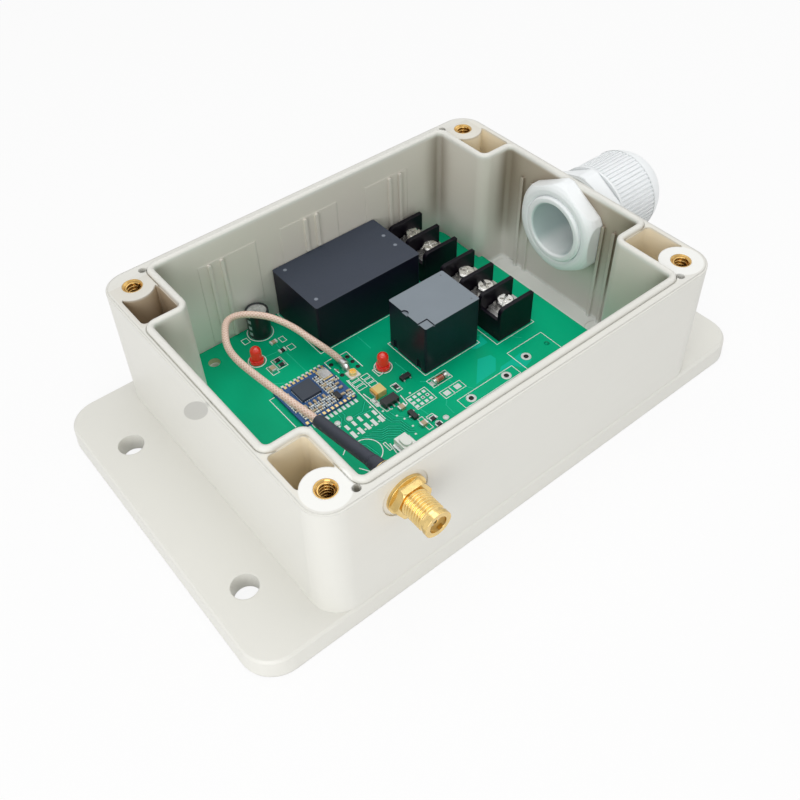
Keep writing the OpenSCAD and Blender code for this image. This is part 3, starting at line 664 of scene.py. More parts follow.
@dataclass(frozen=True)
class CaseTop(Finish):
    """Black plastic case whose frosted upper face has a painted sheen, a paler grey, with a painted highlight
    on its edges and painted light in dimples at given places.
    """

    sheen_top_colour: Colour = tint(70, 74, 84)
    edge_highlight_colour: Colour = tint(96, 102, 112)
    dimples: tuple[tuple[float, float], ...] = ()
    dimple_r: float = 0.55
    dimple_edge: tuple[float, float] = (0.1, -0.2)
    painted_pit_colour: Colour = tint(30, 33, 38)
    grain: float = 0.0004

    def surface(self, maker: Maker) -> Wire:
        """Builds the shader.

        Args:
            maker: The maker on the material's tree.

        Returns:
            The shader's output.
        """
        _, _, rise = maker.parts(maker.node("ShaderNodeNewGeometry", output="Normal"))
        top = rise.ramp(0.7, 0.9)
        level = maker.stretched((1, 1, 0))
        wide, narrow = [self.dimple_r + beyond for beyond in self.dimple_edge]
        pit = sum(maker.distance(level, (x, y, 0)).step(wide, narrow) for x, y in self.dimples) * top
        fine = maker.noise(self.grain, 3)
        cloud = maker.noise(0.012, 3)
        normal, edges = maker.soft_edge(0.0002)
        # Painted sheen: the upper face, found by its normal, is a paler grey than the sides; its frosting is
        # the higher roughness.
        shade = maker.mix(top, self.colour, maker.mix(cloud, times(self.sheen_top_colour, 0.8), self.sheen_top_colour))
        # Painted highlight on the edges.
        shade = maker.mix(edges * 0.35, shade, self.edge_highlight_colour)
        # Painted light in the dimples: paler in the module's pits and darker in the relay's.
        return self.shader(maker, {
            "Base Color": maker.mix(pit * 0.7, shade, self.painted_pit_colour),
            "Roughness": self.roughness + 0.16 * top + 0.12 * (fine - 0.5),
            "Normal": maker.bump(fine - 3 * pit, 0.000012, normal),
            "Specular IOR Level": top * 0.2 + 0.25,
        })


@dataclass(frozen=True)
class Lens(Finish):
    """Clear tinted lamp lens with a painted highlight that brightens it towards its tip, and a painted glow
    from its emission.
    """

    low: float = 7.2
    high: float = 12.2
    deep: Colour = tint(208, 16, 6)
    painted_glow: tuple[Colour, Colour] = (tint(214, 22, 6), tint(206, 56, 32))
    strength: float = 0.3

    def surface(self, maker: Maker) -> Wire:
        """Builds the shader.

        Args:
            maker: The maker on the material's tree.

        Returns:
            The shader's output.
        """
        _, _, z = maker.parts(maker.place())
        rise = z.step(self.low, self.high)
        streak = maker.noise(0.0006, 2, (1, 1, 0.3))
        normal, _ = maker.soft_edge(0.0002)
        # Painted highlight towards the tip, and a painted glow from the emission.
        return self.shader(maker, {
            "Base Color": maker.mix(streak * 0.4 + rise * 0.6, self.deep, self.colour),
            "Roughness": self.roughness + 0.1 * streak,
            "Transmission Weight": 0.35,
            "Coat Weight": 0.8,
            "Coat Roughness": 0.05,
            "Emission Color": maker.mix(rise, *self.painted_glow),
            "Emission Strength": self.strength,
            "Normal": normal,
        })


@dataclass(frozen=True)
class Braid(Finish):
    """Braided screen that shows through a clear jacket; it reads the lead's own UV map."""

    weave: Colour = tint(255, 234, 220)
    haze: Colour = tint(240, 204, 184)
    turns: float = 6
    pitch: float = 0.003
    uv_map: str = "lead"

    def surface(self, maker: Maker) -> Wire:
        """Builds the shader.

        Args:
            maker: The maker on the material's tree.

        Returns:
            The shader's output.
        """
        along, around, _ = maker.parts(maker.node("ShaderNodeUVMap", {"uv_map": self.uv_map}))
        run = along * (math.pi / self.pitch * self.turns)
        lap = around * (2 * math.pi * self.turns)
        one = (run + lap).sine() * 0.5 + 0.5
        other = (run - lap).sine() * 0.5 + 0.5
        strands = maker.maths("MAXIMUM", one, other) ** 2.0
        cloud = maker.noise(0.004, 2)
        shade = maker.mix(strands * 0.75 + 0.15, self.colour, self.weave)
        return self.shader(maker, {
            "Base Color": maker.mix(cloud * 0.25, shade, self.haze),
            "Roughness": self.roughness + 0.1 * (1 - strands),
            "Normal": maker.bump(strands, 0.00008),
            "Coat Weight": 0.5,
            "Coat Roughness": 0.15,
        })


@dataclass(frozen=True)
class Capacitor(Finish):
    """Dark printed sleeve with a pale polarity band down one side."""

    centre: tuple[float, float] = (-21.9, 36.8)
    band: Colour = tint(190, 196, 205)
    band_turn: float = -2.9
    band_half: tuple[float, float] = (0.16, 0.2)
    dash: float = 0.0021

    def surface(self, maker: Maker) -> Wire:
        """Builds the shader.

        Args:
            maker: The maker on the material's tree.

        Returns:
            The shader's output.
        """
        x, y, z = maker.parts(maker.place())
        centre_x, centre_y = self.centre
        turn = maker.maths("ARCTAN2", y - centre_y * MM, x - centre_x * MM)
        dashes = (z * (2 * math.pi / self.dash)).sine().ramp(-0.3, 0.1)
        stripe = (1 - (turn - self.band_turn).size().ramp(*self.band_half)) * dashes
        fine = maker.noise(0.0005, 2)
        normal, _ = maker.soft_edge(0.0003)
        shade = maker.mix(fine * 0.4, self.colour, times(self.colour, 1.8))
        return self.shader(maker, {
            "Base Color": maker.mix(stripe * 0.85, shade, self.band),
            "Roughness": self.roughness + 0.1 * fine,
            "Normal": maker.bump(fine, 0.000008, normal),
            "Coat Weight": 0.4,
            "Coat Roughness": 0.15,
        })


@dataclass(frozen=True)
class Banded(Finish):
    """Moulded chip body with a coloured polarity band across one end."""

    band: Colour = tint(224, 158, 66)
    band_x: float = -12.7

    def surface(self, maker: Maker) -> Wire:
        """Builds the shader.

        Args:
            maker: The maker on the material's tree.

        Returns:
            The shader's output.
        """
        x, _, _ = maker.parts(maker.place())
        mark = x.step(self.band_x + 0.05, self.band_x - 0.05)
        fine = maker.noise(0.0003, 2)
        normal, _ = maker.soft_edge(0.00015)
        shade = maker.mix(fine * 0.4, self.colour, times(self.colour, 0.85))
        return self.shader(maker, {
            "Base Color": maker.mix(mark * 0.85, shade, self.band),
            "Roughness": self.roughness + 0.15 * fine,
            "Normal": maker.bump(fine, 0.00001, normal),
        })


@dataclass(frozen=True)
class Diode(Finish):
    """Clear glass tube with a red-brown core, a dark band and silvered ends, along x."""

    centre_x: float = 3.0
    core: Colour = tint(168, 70, 44)
    silver: Colour = tint(222, 222, 220)
    band: Colour = tint(26, 22, 24)
    band_at: float = 1.1
    band_edge: tuple[float, float] = (0.14, 0.2)
    core_edge: tuple[float, float] = (0.95, 0.7)
    silver_edge: tuple[float, float] = (1.35, 1.4)

    def surface(self, maker: Maker) -> Wire:
        """Builds the shader.

        Args:
            maker: The maker on the material's tree.

        Returns:
            The shader's output.
        """
        x, _, _ = maker.parts(maker.place())
        along = x - self.centre_x * MM
        middle = along.size().step(*self.core_edge)
        ends = along.size().step(*self.silver_edge)
        beside = (along - self.band_at * MM).size().step(*self.band_edge)
        fine = maker.noise(0.0003, 2)
        normal, _ = maker.soft_edge(0.0002)
        shade = maker.mix(middle, self.colour, self.core)
        shade = maker.mix(beside, self.band, shade)
        return self.shader(maker, {
            "Base Color": maker.mix(ends, shade, self.silver),
            "Metallic": ends * 0.8,
            "Roughness": self.roughness + 0.15 * fine,
            "Normal": maker.bump(fine, 0.000003, normal),
            "Coat Weight": 1.0,
            "Coat Roughness": 0.05,
        })


@dataclass(frozen=True)
class Socket(Finish):
    """Gold ring that stands on a pale plastic base."""

    base: Colour = tint(236, 236, 228)
    base_top: float = 7.62

    def surface(self, maker: Maker) -> Wire:
        """Builds the shader.

        Args:
            maker: The maker on the material's tree.

        Returns:
            The shader's output.
        """
        _, _, z = maker.parts(maker.place())
        metal = z.step(self.base_top, self.base_top + 0.02)
        fine = maker.noise(0.0002, 2)
        normal, _ = maker.soft_edge(0.0001)
        return self.shader(maker, {
            "Base Color": maker.mix(metal, self.base, self.colour),
            "Metallic": metal,
            "Roughness": self.roughness + 0.2 * (1 - metal) + 0.1 * fine,
            "Normal": maker.bump(fine, 0.000003, normal),
        })


@dataclass(frozen=True)
class Ink(Finish):
    """Printed silk line or bare coating, slightly uneven."""

    wear: float = 0.15
    specular: float = 0.5

    def surface(self, maker: Maker) -> Wire:
        """Builds the shader.

        Args:
            maker: The maker on the material's tree.

        Returns:
            The shader's output.
        """
        fine = maker.noise(0.0002, 2)
        return self.shader(maker, {
            "Base Color": maker.mix(fine * self.wear, self.colour, times(self.colour, 0.75)),
            "Roughness": self.roughness + 0.1 * fine,
            "Normal": maker.bump(fine, 0.000004),
            "Specular IOR Level": self.specular,
        })


SHELL = Housing("off white shell", tint(228, 227, 220), 0.42, grain=0.0004, depth=0.000005, mottle=0.045,
                edge=0.0004, edge_light=0.07)
SMOOTH_NYLON = {"grain": 0.0008, "depth": 0.000008, "mottle": 0.02, "edge": 0.0005, "edge_light": 0.02}
NYLON = Moulding("white nylon", tint(248, 251, 252), 0.38, **SMOOTH_NYLON)
BORED_NYLON = Nylon("white nylon body", tint(248, 251, 252), 0.38, **SMOOTH_NYLON)
NYLON_WASHER = Moulding("pale washer", tint(205, 208, 206), 0.55, edge=0.0002)
RUBBER = Moulding("grey rubber", tint(58, 59, 62), 0.65, grain=0.0004, depth=0.00002, mottle=0.15,
                  edge=0.0004, edge_light=0.03)
SLEEVE = Moulding("black shrink sleeve", tint(57, 61, 74), 0.5, grain=0.0011, depth=0.00005, mottle=0.2,
                  edge=0.0003, edge_light=0.02, specular=0.4)
MASK = SolderMask("green solder mask", tint(0, 194, 142), 0.36)
BLACK = Moulding("black terminal plastic", tint(18, 14, 25), 0.32, grain=0.0006, depth=0.000008, mottle=0.2,
                 edge=0.0002, edge_light=0.03, specular=0.18)
MODULE = CaseTop("black module case", tint(18, 14, 32), 0.4, sheen_top_colour=tint(50, 58, 73),
                 dimples=((-11.1, 37.8), (-11.6, 23), (17.7, 32.3), (17.6, 27.1)),
                 painted_pit_colour=tint(150, 158, 170))
RELAY = CaseTop("black relay cover", tint(27, 27, 42), 0.3, sheen_top_colour=tint(134, 144, 153),
                dimples=((18.3, 9.2), (18.3, -2.7)), dimple_r=0.3, painted_pit_colour=tint(90, 92, 95))
NICKEL = Metal("nickel screws", (0.84, 0.83, 0.8), 0.24, brush=(1, 1, 6), grain=0.0005, tarnish=0.12)
PLATED = Metal("nickel clamp plates", (0.82, 0.81, 0.78), 0.28, brush=(6, 1, 1), grain=0.0005, tarnish=0.12)
TINNED = Metal("tinned metal", (0.8, 0.8, 0.8), 0.32)
ALUMINIUM = Metal("bare aluminium", (0.88, 0.89, 0.9), 0.3)
GOLD = Metal("gold plating", (0.84, 0.61, 0.25), 0.15, grain=0.0006, depth=0.0000006, tarnish=0.15)
BRASS = Metal("turned brass", (0.62, 0.4, 0.14), 0.24, brush=(1, 1, 4), depth=0.000001, tarnish=0.2)
GOLD_PADS = Metal("gold pads", (0.9, 0.68, 0.32), 0.35, tarnish=0.15)
COPPER = Metal("enamelled copper", (0.75, 0.34, 0.16), 0.3)
IRON = Metal("relay iron", (0.6, 0.6, 0.6), 0.38)
CONTACT = Metal("contact metal", (0.8, 0.66, 0.45), 0.3)
JACKET = Braid("coax jacket", tint(224, 176, 150), 0.3)
CAP_SLEEVE = Capacitor("capacitor sleeve", tint(20, 22, 30), 0.3)
RED_LENS = Lens("red lamp lens", tint(222, 44, 28), 0.08)
BLUE_BOARD = Moulding("blue radio board", tint(40, 96, 160), 0.32, grain=0.001, mottle=0.35, edge=0.0001)
CHIP = Moulding("chip moulding", tint(62, 70, 84), 0.5, grain=0.0002, mottle=0.2, edge=0.0001,
                edge_light=0.06)
YELLOW = Banded("yellow tantalum moulding", tint(240, 212, 136), 0.42)
SMALL_BLACK = Moulding("small black moulding", tint(29, 30, 33), 0.42, grain=0.0003, mottle=0.2, edge=0.00015,
                       edge_light=0.08)
CERAMIC = Moulding("tan ceramic", tint(206, 184, 150), 0.45, grain=0.0003, mottle=0.2, edge=0.0001)
WHITE_PLASTIC = Moulding("white button plastic", tint(253, 255, 249), 0.4, grain=0.0006, mottle=0.03,
                         edge=0.0002)
GLASS = Diode("diode glass", tint(206, 150, 120), 0.15)
PTFE = Moulding("white ptfe", tint(235, 232, 222), 0.45, grain=0.0006, mottle=0.05, edge=0.0001)
SILK = Ink("white silk print", tint(255, 255, 255), 0.5, wear=0.03)
PAD = Ink("bright tinned pads", tint(240, 244, 242), 0.32, wear=0.12)
TRACK = Ink("masked copper track", tint(34, 208, 162), 0.34, specular=0.2)
POUR = Ink("masked copper area", tint(0, 204, 168), 0.36, specular=0.15)
TRACK_GAP = Ink("bare glass beside a track", tint(0, 134, 96), 0.4, specular=0.15)
SOCKET = Socket("gold socket on a pale base", (0.98, 0.76, 0.36), 0.25)
# Painted shade: flat dark discs stand where holes are, for the shade inside them.
HOLE_SHADE = Ink("dark plated hole", tint(12, 16, 16), 0.6)


def link(piece: bpy.types.Object) -> bpy.types.Object:
    """Puts an object in the scene and returns it."""
    bpy.context.scene.collection.objects.link(piece)
    return piece


def dress(finish: Finish, *names: str) -> None:
    """Gives CAD nodes a finish through their material slots.

    Args:
        finish: The finish.
        names: The nodes' names.
    """
    made = finish.material()
    for name in names:
        for slot in frame["nodes"][name].material_slots:
            slot.material = made


def settle(piece: bpy.types.Object) -> None:
    """Lets a finished piece ride on the housing and logs its faces.

    Args:
        piece: The finished object, at the origin.
    """
    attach(piece, HOUSING)
    log.info("%s: %d faces", piece.name, len(piece.data.polygons))


def close_mesh(name: str, mesh: bmesh.types.BMesh, finish: Finish) -> bpy.types.Object:
    """Turns a bmesh into an object.

    Args:
        name: Name of the object and its mesh.
        mesh: The bmesh; it is freed.
        finish: The object's finish.

    Returns:
        The object, at the origin.
    """
    data = bpy.data.meshes.new(name)
    mesh.to_mesh(data)
    mesh.free()
    data.materials.append(finish.material())
    return link(bpy.data.objects.new(name, data))


@dataclass
class Grower:
    """A Geometry Nodes tree with named inputs that ends in Realize Instances and Set Material.

    The inputs are given by name with their defaults. Lengths among them are in metres.
    """

    name: str
    inputs: dict[str, float]
    ids: dict[str, str] = field(default_factory=dict)
    tree: bpy.types.NodeTree = field(init=False)
    maker: Maker = field(init=False)

    def __post_init__(self) -> None:
        """Makes the tree and its sockets."""
        self.tree = bpy.data.node_groups.new(self.name, "GeometryNodeTree")
        self.maker = Maker(self.tree)
        face = self.tree.interface
        face.new_socket("Geometry", in_out="OUTPUT", socket_type="NodeSocketGeometry")
        face.new_socket("Geometry", in_out="INPUT", socket_type="NodeSocketGeometry")
        for label, default in self.inputs.items():
            item = face.new_socket(label, in_out="INPUT", socket_type="NodeSocketFloat")
            item.default_value = default
            self.ids[label] = item.identifier
        finish = face.new_socket("Finish", in_out="INPUT", socket_type="NodeSocketMaterial")
        self.ids["Finish"] = finish.identifier

    def take(self, label: str) -> Wire:
        """Returns a wire on one of the tree's inputs."""
        return self.maker.node("NodeGroupInput", output=label)

    def strip(self, curve: Wire, caps: bool) -> Wire:
        """Sweeps a rectangle of the tree's Width and Height along a curve.

        Args:
            curve: The curve.
            caps: Whether its ends are closed.

        Returns:
            The swept mesh.
        """
        profile = self.maker.node("GeometryNodeCurvePrimitiveQuadrilateral", {},
                                  {"Width": self.take("Width"), "Height": self.take("Height")})
        return self.maker.node("GeometryNodeCurveToMesh", {},
                               {"Curve": curve, "Profile Curve": profile, "Fill Caps": caps})

    def end(self, shape: Wire) -> "Grower":
        """Realizes the instances, sets the material and links the output.

        Args:
            shape: The geometry that the tree has made.

        Returns:
            This tree, ready to grow pieces.
        """
        real = self.maker.node("GeometryNodeRealizeInstances", {}, {"Geometry": shape})
        done = self.maker.node("GeometryNodeSetMaterial", {},
                               {"Geometry": real, "Material": self.take("Finish")})
        self.maker.close("NodeGroupOutput", "Geometry", done)
        return self

    def scatter(self, shape: Wire) -> "Grower":
        """Puts a shape on every point that comes in, and ends the tree."""
        values = {"Points": self.take("Geometry"), "Instance": shape}
        return self.end(self.maker.node("GeometryNodeInstanceOnPoints", {}, values))

    def grow(self, name: str, seed: bpy.types.Object, finish: Finish,
             values: dict[str, float]) -> bpy.types.Object:
        """Runs the tree on an object and returns a plain mesh piece.

        Args:
            name: Name of the new piece.
            seed: The curve or mesh that the tree works on; it is used up.
            finish: The finish of the new piece.
            values: Values by input name.

        Returns:
            The new object, at the origin, with no modifier.
        """
        link(seed)
        modifier = seed.modifiers.new(self.name, "NODES")
        modifier.node_group = self.tree
        modifier[self.ids["Finish"]] = finish.material()
        for label, value in values.items():
            modifier[self.ids[label]] = value
        depsgraph = bpy.context.evaluated_depsgraph_get()
        mesh = bpy.data.meshes.new_from_object(seed.evaluated_get(depsgraph), depsgraph=depsgraph)
        seed.modifiers.clear()
        bpy.data.objects.remove(seed)
        mesh.name = name
        return link(bpy.data.objects.new(name, mesh))

    def lay(self, name: str, seed: bpy.types.Object, finish: Finish, slot: Slot, *sizes: float) -> None:
        """Grows a piece and settles it.

        Args:
            name: Name of the new piece.
            seed: The curve or mesh that the tree works on; it is used up.
            finish: The finish of the new piece.
            slot: The record's material slot; not used.
            sizes: Values for the tree's inputs, in their order and in millimetres.
        """
        values = {label: size * MM for label, size in zip(self.inputs, sizes)}
        settle(self.grow(name, seed, finish, values))


def strip_tree() -> Grower:
    """Makes the tree that runs a flat strip along every spline.

    Returns:
        The tree.
    """
    made = Grower("flat strip", {"Width": 0.00018, "Height": 0.00003})
    curve = made.take("Geometry")
    upright = made.maker.node("GeometryNodeSetCurveNormal", {"mode": "Z_UP"}, {"Curve": curve})
    return made.end(made.strip(upright, True))


def box_tree() -> Grower:
    """Makes the tree that puts a box on every point.

    Returns:
        The tree.
    """
    made = Grower("boxes on points", {"Length": 0.001, "Width": 0.001, "Height": 0.00005})
    sides = {i: made.take(label) for i, label in enumerate(made.inputs)}
    size = made.maker.node("ShaderNodeCombineXYZ", {}, sides)
    return made.scatter(made.maker.node("GeometryNodeMeshCube", {}, {"Size": size}, "Mesh"))


def ring_tree() -> Grower:
    """Makes the tree that puts a flat ring on every point.

    Returns:
        The tree.
    """
    made = Grower("rings on points", {"Radius": 0.0009, "Width": 0.0005, "Height": 0.00005})
    circle = made.maker.node("GeometryNodeCurvePrimitiveCircle", {},
                             {"Resolution": 28, "Radius": made.take("Radius")})
    return made.scatter(made.strip(circle, False))


def thread_tree() -> Grower:
    """Makes the tree that puts an inner screw thread on every point.

    Returns:
        The tree.
    """
    made = Grower("threads on points", {"Radius": 0.0018, "Length": 0.006, "Turns": 9.0, "Ridge": 0.00028})
    radius = made.take("Radius")
    helix = made.maker.node("GeometryNodeCurveSpiral", {},
                            {"Resolution": 20, "Rotations": made.take("Turns"), "Start Radius": radius,
                             "End Radius": radius, "Height": made.take("Length")})
    ridge = made.maker.node("GeometryNodeCurvePrimitiveCircle", {},
                            {"Resolution": 5, "Radius": made.take("Ridge")})
    return made.scatter(made.maker.node("GeometryNodeCurveToMesh", {},
                                        {"Curve": helix, "Profile Curve": ridge, "Fill Caps": True}))


def points_at(places: Iterable[Point]) -> bpy.types.Object:
    """Makes a mesh of single points, given in millimetres."""
    mesh = bpy.data.meshes.new("points")
    mesh.from_pydata([mm(*p) for p in places], [], [])
    return bpy.data.objects.new("points", mesh)


def lines_at(lines: Iterable[Sequence[Point]], closed: bool = False) -> bpy.types.Object:
    """Makes one curve object of straight-sided splines.

    Args:
        lines: The points of each spline, in millimetres.
        closed: Whether each spline is a loop.

    Returns:
        The curve object.
    """
    curve = bpy.data.curves.new("lines", "CURVE")
    curve.dimensions = "3D"
    for line in lines:
        spline = curve.splines.new("POLY")
        spline.points.add(len(line) - 1)
        for point, place in zip(spline.points, line):
            point.co = (*mm(*place), 1)
        spline.use_cyclic_u = closed
    return bpy.data.objects.new("lines", curve)


def rectangle(x0: float, y0: float, x1: float, y1: float, z: float) -> list[Point]:
    """Returns the corners of a level rectangle."""
    return [(x0, y0, z), (x1, y0, z), (x1, y1, z), (x0, y1, z)]


def arc(x: float, y: float, r: float, a0: float, a1: float, z: float, steps: int = 28) -> list[Point]:
    """Makes points along a level arc.

    Args:
        x: Its centre along x, as all lengths here in millimetres.
        y: Its centre along y.
        r: Its radius.
        a0: The angle where it starts, in degrees.
        a1: The angle where it ends, in degrees.
        z: Its height.
        steps: The number of chords.

    Returns:
        The points.
    """
    turns = [math.radians(a0 + (a1 - a0) * i / steps) for i in range(steps + 1)]
    return [(x + r * math.cos(t), y + r * math.sin(t), z) for t in turns]


def grid(x: float, y: float, pitch_x: float, pitch_y: float, across: int, along: int) -> list[Point]:
    """Returns the places of a level grid that starts at a corner and runs along y first."""
    return [(x + pitch_x * i, y + pitch_y * j) for i in range(across) for j in range(along)]


@dataclass
class Studio:
    """Camera, lamps, floor and the white surround."""

    place: Point = (-101.85, -126.56, 173.77)
    azimuth: float = -37.85
    elevation: float = 47.69
    roll: float = -1.83
    focal_px: float = 899.49
    image_px: float = 800
    film: float = 36
    clip: tuple[float, float] = (0.01, 10)
    floor_half: float = 1.5
    floor_z: float = -0.0002
    floor_grey: float = 0.86
    floor_white: float = 0.88
    sky: float = 0.5
    aim_z: float = 15
    lamps: tuple[tuple[str, Point, float, float], ...] = (
        ("key", (-400, -300, 220), 0.35, 1.25), ("fill", (380, -120, 330), 0.4, 0.25),
        ("top", (20, 40, 520), 0.45, 0.92))

    def camera(self) -> None:
        """Makes the camera at the photograph's place and angle."""
        a, e, r = (math.radians(v) for v in (self.azimuth, self.elevation, self.roll))
        back = Vector((math.sin(a) * math.cos(e), -math.cos(a) * math.cos(e), math.sin(e)))
        right = Vector((math.cos(a), math.sin(a), 0))
        up = back.cross(right)
        turned_right = right * math.cos(r) + up * math.sin(r)
        turned_up = up * math.cos(r) - right * math.sin(r)
        data = bpy.data.cameras.new("camera")
        data.sensor_width = self.film
        data.lens = self.focal_px / self.image_px * self.film
        data.clip_start, data.clip_end = self.clip
        camera = link(bpy.data.objects.new("camera", data))
        turn = Matrix((turned_right, turned_up, back)).transposed().to_4x4()
        camera.matrix_world = Matrix.Translation(mm(*self.place)) @ turn
        bpy.context.scene.camera = camera

    def lamp(self, name: str, place: Point, size: float, watts: float) -> None:
        """Makes a soft square lamp that faces the object.

        Args:
            name: Its name.
            place: Where it stands, in millimetres.
            size: Its side, in metres.
            watts: Its power.
        """
        data = bpy.data.lights.new(name, "AREA")
        data.size = size
        data.energy = watts
        lamp = link(bpy.data.objects.new(name, data))
        aim = mm(*place) - mm(0, 0, self.aim_z)
        lamp.rotation_euler = aim.to_track_quat("Z", "Y").to_euler()
        lamp.location = mm(*place)

    def surround(self, maker: Maker) -> Wire:
        """Tells the rays that see the white surround from those that light the object.

        Args:
            maker: The maker on the world's or the floor's tree.

        Returns:
            1 for rays that come from the camera, a mirror or glass.
        """
        camera, mirror, glass = [maker.node("ShaderNodeLightPath", output=ray)
                                 for ray in ("Is Camera Ray", "Is Glossy Ray", "Is Transmission Ray")]
        return maker.maths("MAXIMUM", camera, maker.maths("MAXIMUM", mirror, glass))

    def world(self) -> None:
        """Makes the even sky, white to the camera."""
        world = bpy.data.worlds.new("studio")
        bpy.context.scene.world = world
        maker = fresh(world)
        even = maker.node("ShaderNodeBackground", {}, {"Color": (1, 1, 1), "Strength": self.sky})
        white = maker.node("ShaderNodeBackground", {}, {"Color": (1, 1, 1), "Strength": 1.0})
        mixed = maker.node("ShaderNodeMixShader", {}, {0: self.surround(maker), 1: even, 2: white})
        maker.close("ShaderNodeOutputWorld", "Surface", mixed)

    def floor(self) -> None:
        """Makes the pale floor, white to the camera but for the object's shadow."""
        h, z = self.floor_half, self.floor_z
        mesh = bpy.data.meshes.new("floor")
        mesh.from_pydata([(-h, -h, z), (h, -h, z), (h, h, z), (-h, h, z)], [], [(0, 1, 2, 3)])
        floor = link(bpy.data.objects.new("floor", mesh))
        paper = bpy.data.materials.new("paper floor")
        maker = fresh(paper)
        plain = maker.node("ShaderNodeBsdfDiffuse", {}, {"Color": (self.floor_grey,) * 3})
        white = maker.node("ShaderNodeEmission", {}, {"Color": (1, 1, 1), "Strength": 1.0})
        seen = self.surround(maker) * self.floor_white
        maker.close("ShaderNodeOutputMaterial", "Surface",
                    maker.node("ShaderNodeMixShader", {}, {0: seen, 1: plain, 2: white}))
        mesh.materials.append(paper)

    def build(self) -> None:
        """Makes the whole studio."""
        self.camera()
        for lamp in self.lamps:
            self.lamp(*lamp)
        self.world()
        self.floor()
        bpy.context.scene.view_settings.view_transform = "Standard"


@dataclass
class CoaxLead:
    """The thin coaxial lead from the bulkhead connector, through its sleeve, to the solder on the board."""

    diameter: float = 1.8
    sleeve_a: Point = (-37.3, -34.8, 32)
    sleeve_b: Point = (-37, -14, 26.5)
    sleeve_knots: tuple[float, ...] = (0.04, 0.5, 1, 1.06)
    route: tuple[Point, ...] = (
        (-38.5, -4, 26.5), (-39.5, 5.5, 26), (-40, 14, 25.5), (-39, 20.5, 24.5), (-36.5, 26, 24),
        (-33.5, 30, 23), (-29.5, 31.5, 21.5), (-25.5, 30.5, 20), (-22, 28, 18.5), (-19, 24, 16.5),
        (-17, 19.5, 14.5), (-15.2, 16.5, 12.5), (-13.4, 14.5, 10), (-12.5, 13.2, 8.5), (-12.5, 11.8, 8.5))
    steps: int = 10
    sides: int = 20
    boot_rings: tuple[tuple[float, float], ...] = (
        (-38.4, 2.75), (-37.2, 2.75), (-36.9, 2.2), (-36.4, 1.85), (-35.3, 1.75), (-34.2, 1.66), (-33.4, 1.6))

    def line(self) -> list[Vector]:
        """Makes the lead's smooth centreline.

        Returns:
            Its points, in metres.
        """
        a, b = mm(*self.sleeve_a), mm(*self.sleeve_b)
        knots = [a.lerp(b, share) for share in self.sleeve_knots] + [mm(*p) for p in self.route]
        line = []
        for i in range(len(knots) - 1):
            p0, p1, p2, p3 = knots[max(i - 1, 0)], knots[i], knots[i + 1], knots[min(i + 2, len(knots) - 1)]
            for s in range(self.steps):
                t = s / self.steps
                line.append(0.5 * (2 * p1 + (p2 - p0) * t + (2 * p0 - 5 * p1 + 4 * p2 - p3) * t * t
                                   + (3 * p1 - p0 - 3 * p2 + p3) * t ** 3))
        return line + [knots[-1]]

    def ring(self, mesh: bmesh.types.BMesh, centre: Vector, radius: float, side: Vector,
             over: Vector) -> list[bmesh.types.BMVert]:
        """Makes a ring of vertices.

        Args:
            mesh: The mesh that they go into.
            centre: The ring's centre, in metres.
            radius: Its radius, in metres.
            side: The direction of its first spoke.
            over: The direction a quarter turn further.

        Returns:
            The vertices in order.
        """
        turns = [2 * math.pi * k / self.sides for k in range(self.sides)]
        return [mesh.verts.new(centre + radius * (math.cos(t) * side + math.sin(t) * over)) for t in turns]

    def skin(self, mesh: bmesh.types.BMesh,
             rings: list[list[bmesh.types.BMVert]]) -> list[list[bmesh.types.BMFace]]:
        """Joins rings to a smooth tube with flat ends.

        Args:
            mesh: The mesh of the rings.
            rings: The rings in order.

        Returns:
            The tube's side faces, a row for each pair of rings.
        """
        pairs = [(k, (k + 1) % self.sides) for k in range(self.sides)]
        rows = [[mesh.faces.new((near[k], near[n], far[n], far[k])) for k, n in pairs]
                for near, far in zip(rings, rings[1:])]
        for face in mesh.faces:
            face.smooth = True
        mesh.faces.new(list(reversed(rings[0])))
        mesh.faces.new(rings[-1])
        return rows

    def boot(self) -> None:
        """Makes the shrunk end of the sleeve that covers the connector's rear."""
        a, b = mm(*self.sleeve_a), mm(*self.sleeve_b)
        mesh = bmesh.new()
        rings = []
        for y, r in self.boot_rings:
            slope = max(0.0, (y * MM - a.y) / (b.y - a.y))
            centre = Vector((a.x + (b.x - a.x) * slope, y * MM, a.z + (b.z - a.z) * slope))
            rings.append(self.ring(mesh, centre, r * MM, Vector((1, 0, 0)), Vector((0, 0, 1))))
        self.skin(mesh, rings)
        bmesh.ops.recalc_face_normals(mesh, faces=mesh.faces)
        settle(close_mesh("sleeve_boot", mesh, SLEEVE))

    def build(self) -> None:
        line = self.line()
        mesh = bmesh.new()
        uv = mesh.loops.layers.uv.new(JACKET.uv_map)
        side = Vector((0, 0, 1)).cross(line[1] - line[0]).normalized()
        rings, runs, run = [], [], 0.0
        for i, here in enumerate(line):
            ahead = (line[min(i + 1, len(line) - 1)] - line[max(i - 1, 0)]).normalized()
            side = (side - ahead * side.dot(ahead)).normalized()
            run += (here - line[i - 1]).length if i else 0
            rings.append(self.ring(mesh, here, self.diameter / 2 * MM, side, ahead.cross(side)))
            runs.append(run)
        for row, start, stop in zip(self.skin(mesh, rings), runs, runs[1:]):
            for k, face in enumerate(row):
                for loop, lap, far in zip(face.loops, (k, k + 1, k + 1, k), (start, start, stop, stop)):
                    loop[uv].uv = (far, lap / self.sides)
        lead = close_mesh("coax_lead", mesh, JACKET)
        settle(lead)
        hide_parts("coax_cable")
        self.boot()
        dress(SLEEVE, "shrink_sleeve")
        dress(TINNED, "coax_ferrule")
        dress(SOCKET, "coax_socket")
        log.info("lead is %.1f mm long", runs[-1] / MM)


